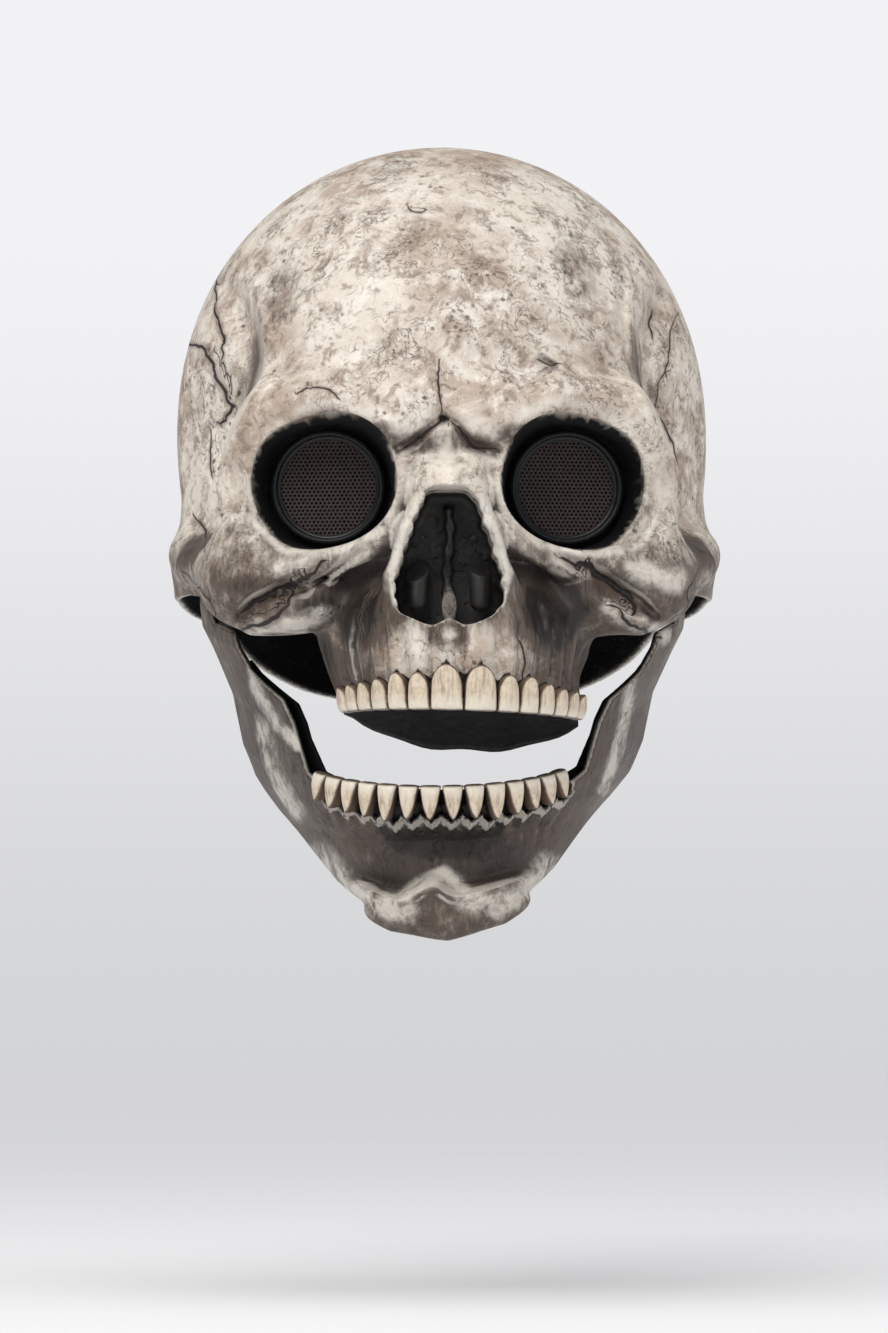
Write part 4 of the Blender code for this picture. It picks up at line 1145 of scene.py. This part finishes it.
def socket_frame(side):
    """Centre, axis and the two directions across a socket."""
    axis = np.array(SOCKET_AXIS) * (side, 1, 1)
    axis /= np.linalg.norm(axis)
    across = np.cross(axis, (0, 0, 1))
    across /= np.linalg.norm(across)
    return np.array(SOCKET_CENTRE) * (side, 1, 1), axis, across, np.cross(across, axis)


def turned(name, side, profile, sides=96):
    """A closed band round a socket's axis from depths and radii."""
    centre, axis, across, up = socket_frame(side)
    verts, faces = [], []
    for depth, radius in profile:
        for i in range(sides):
            a = 2 * math.pi * i / sides
            spot = centre + axis * depth + (across * math.cos(a) + up * math.sin(a)) * radius
            verts.append(tuple(spot * MM))
    for i in range(len(profile)):
        n = (i + 1) % len(profile)
        faces += [(i * sides + j, i * sides + (j + 1) % sides, n * sides + (j + 1) % sides, n * sides + j)
                  for j in range(sides)]
    made = mesh_object(name, verts, faces)
    mesh = made.data
    shape = bmesh.new()
    shape.from_mesh(mesh)
    bmesh.ops.recalc_face_normals(shape, faces=shape.faces)
    shape.to_mesh(mesh)
    shape.free()
    mesh.shade_smooth()
    mesh.set_sharp_from_angle(angle=math.radians(50))
    return made


def make_ring(side, word, paint):
    back = SOCKET_DEPTH - SEAT_PLAY - 1.0 - SEAT_PLAY
    outer = SOCKET_FLOOR_RADIUS - 0.7
    lip = ((0, -0.4), (-0.9, -0.7), (-1.3, -0.2), (-1.4, 0.3), (-2.0, 0.45), (-2.9, 0.6), (-3.35, 0.9),
           (-3.5, 1.3))
    flank = ((-3.4, -0.9), (-3.0, -0.35), (-2.3, -0.05), (0, 0))
    profile = [(back + d, LENS_RADIUS + r) for d, r in lip] + [(back + d, outer + r) for d, r in flank]
    ring = turned(f"eye_ring_{word}_fine", side, profile)
    ring.data.materials.append(paint)
    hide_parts(f"eye_ring_{word}")
    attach(ring, "skull")


def make_screen(side, word, paint):
    """A thin sheet pierced by a hexagonal field of small holes."""
    centre, axis, across, up = socket_frame(side)
    pitch, hole_radius, margin = 1.55, 0.5, 0.9
    verts, faces, index = [], [], {}
    depth = SOCKET_DEPTH - SEAT_PLAY - 0.55
    turns = [math.pi / 6 + math.pi / 3 * k for k in range(6)]

    def vertex(u, v):
        key = (round(u, 3), round(v, 3))
        if key not in index:
            index[key] = len(verts)
            verts.append(tuple((centre + axis * depth + across * u + up * v) * MM))
        return index[key]

    steps = int(SCREEN_RADIUS / pitch) + 2
    cell = pitch / math.sqrt(3)
    for row in range(-steps * 2, steps * 2 + 1):
        for col in range(-steps, steps + 1):
            u = (col + 0.5 * (row % 2)) * pitch
            v = row * pitch * math.sqrt(3) / 2
            if math.hypot(u, v) > SCREEN_RADIUS - margin:
                continue
            outer = [vertex(u + cell * math.cos(a), v + cell * math.sin(a)) for a in turns]
            hole = [vertex(u + hole_radius * math.cos(a) + 0.0001, v + hole_radius * math.sin(a))
                    for a in turns]
            for k in range(6):
                n = (k + 1) % 6
                faces.append((outer[k], outer[n], hole[n], hole[k]))
    made = mesh_object(f"eye_screen_{word}_fine", verts, faces)
    thick = made.modifiers.new("thick", "SOLIDIFY")
    thick.thickness = 0.5 * MM
    thick.offset = 0
    made.data.materials.append(paint)
    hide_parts(f"eye_screen_{word}")
    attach(made, "skull")


def make_stage():
    """A wide pale floor."""
    half, floor_z = 16.0, -0.42
    corners = [(x * half, y * half, floor_z) for x, y in ((-1, -1), (1, -1), (1, 1), (-1, 1))]
    stage = mesh_object("floor", corners, [(0, 1, 2, 3)])
    n = Nodes(bpy.data.materials.new("pale_paper"))
    paper = n.mix(n.noise(3.0), (0.905, 0.905, 0.92), (0.935, 0.935, 0.945))
    stage.data.materials.append(n.finish(paper, 0.85))


def area_light(name, place, target, size, power, colour=(1, 1, 1)):
    data = bpy.data.lights.new(name, "AREA")
    data.shape = "RECTANGLE"
    data.size, data.size_y = size
    data.energy = power
    data.color = colour
    light = placed(name, data)
    light.location = place
    light.rotation_euler = (Vector(target) - Vector(place)).to_track_quat("-Z", "Y").to_euler()


def make_lights():
    """A soft key light from the upper left, weak lights from the other sides and above, and a pale room
    whose seen tone meets the floor's."""
    target = (0, 0, -0.14)
    area_light("key", (-0.45, -1.4, 0.85), target, (0.8, 0.8), 11.5, (1.0, 0.985, 0.96))
    area_light("fill", (1.1, -1.4, 0.2), target, (0.9, 1.2), 1.9, (0.97, 0.985, 1.0))
    area_light("side_left", (-1.3, 0.35, 0.1), target, (0.5, 1.2), 1.8)
    area_light("side_right", (1.3, 0.35, 0.1), target, (0.5, 1.2), 2.6)
    sky = bpy.data.lights.new("overhead", "SUN")
    sky.energy = 1.6
    sky.angle = math.radians(70)
    above = placed("overhead", sky)
    above.rotation_euler = Vector((0.12, 0.38, -1.0)).to_track_quat("-Z", "Y").to_euler()
    world = bpy.data.worlds.new("studio")
    bpy.context.scene.world = world
    n = Nodes(world)
    light = n.tree.nodes["Background"]
    n.put(light.inputs["Color"], (0.97, 0.98, 1.0, 1))
    n.put(light.inputs["Strength"], 0.28)
    split = n.add("ShaderNodeSeparateXYZ", Vector=n.coordinates.outputs["Generated"])
    tone = n.mix(n.span(split.outputs["Z"], -0.01, 0.16), (0.655, 0.66, 0.672), (0.89, 0.89, 0.91))
    seen = n.add("ShaderNodeBackground", Color=tone)
    camera_ray = n.add("ShaderNodeLightPath").outputs["Is Camera Ray"]
    both = n.add("ShaderNodeMixShader")
    for socket, value in zip(both.inputs, (camera_ray, light.outputs[0], seen.outputs[0])):
        n.put(socket, value)
    n.put(n.tree.nodes["World Output"].inputs["Surface"], both.outputs[0])


def make_camera():
    """The photo's view: 2 m off, from a little below, looking up by 4 degrees."""
    data = bpy.data.cameras.new("photo_view")
    data.sensor_width = 36
    data.sensor_fit = "HORIZONTAL"
    data.lens = 36 * FOCAL_PIXELS / PHOTO_WIDTH
    camera = placed("photo_view", data)
    azimuth, elevation, reach = math.radians(1.0), math.radians(-4), 2.0
    target = Vector((0, 0, -0.190))
    way = Vector((math.sin(azimuth) * math.cos(elevation), math.cos(azimuth) * math.cos(elevation),
                  math.sin(-elevation)))
    camera.location = target - way * reach
    camera.rotation_euler = way.to_track_quat("-Z", "Y").to_euler()
    scene = bpy.context.scene
    scene.camera = camera
    scene.render.resolution_x, scene.render.resolution_y = PHOTO_WIDTH, PHOTO_HEIGHT
    scene.view_settings.view_transform = "Standard"
    scene.view_settings.look = "None"


def main():
    bone = bone_paint("aged_bone")
    ivory = tooth_paint("worn_tooth")
    rubber = black_paint("black_latex", (0.0025, 0.0025, 0.0028), 0.55, 260, 0.4, 0.08)
    plastic = black_paint("black_plastic", (0.012, 0.013, 0.014), 0.30, 500, 0.12)
    gauze = black_paint("dark_screen", (0.045, 0.032, 0.028), 0.42, 700, 0.1)
    make_skull(bone)
    make_jaw(bone)
    make_teeth("upper_teeth", upper_teeth, (-46, -118, -219), (56, -62, -192), UPPER_ROW, UPPER_TEETH,
               UPPER_TAPER, "skull", ivory, lambda p: p)
    make_teeth("lower_teeth", lower_teeth, (-60, -102, -256), (54, -40, -206), LOWER_ROW, LOWER_TEETH,
               LOWER_TAPER, "jaw", ivory, closed)
    make_lining(rubber)
    make_lip(rubber)
    for side, word in ((1, "right"), (-1, "left")):
        make_ring(side, word, plastic)
        make_screen(side, word, gauze)
        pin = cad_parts[f"jaw_pin_{word}"]
        pin.data.materials.clear()
        pin.data.materials.append(plastic)
    make_stage()
    make_lights()
    make_camera()


main()
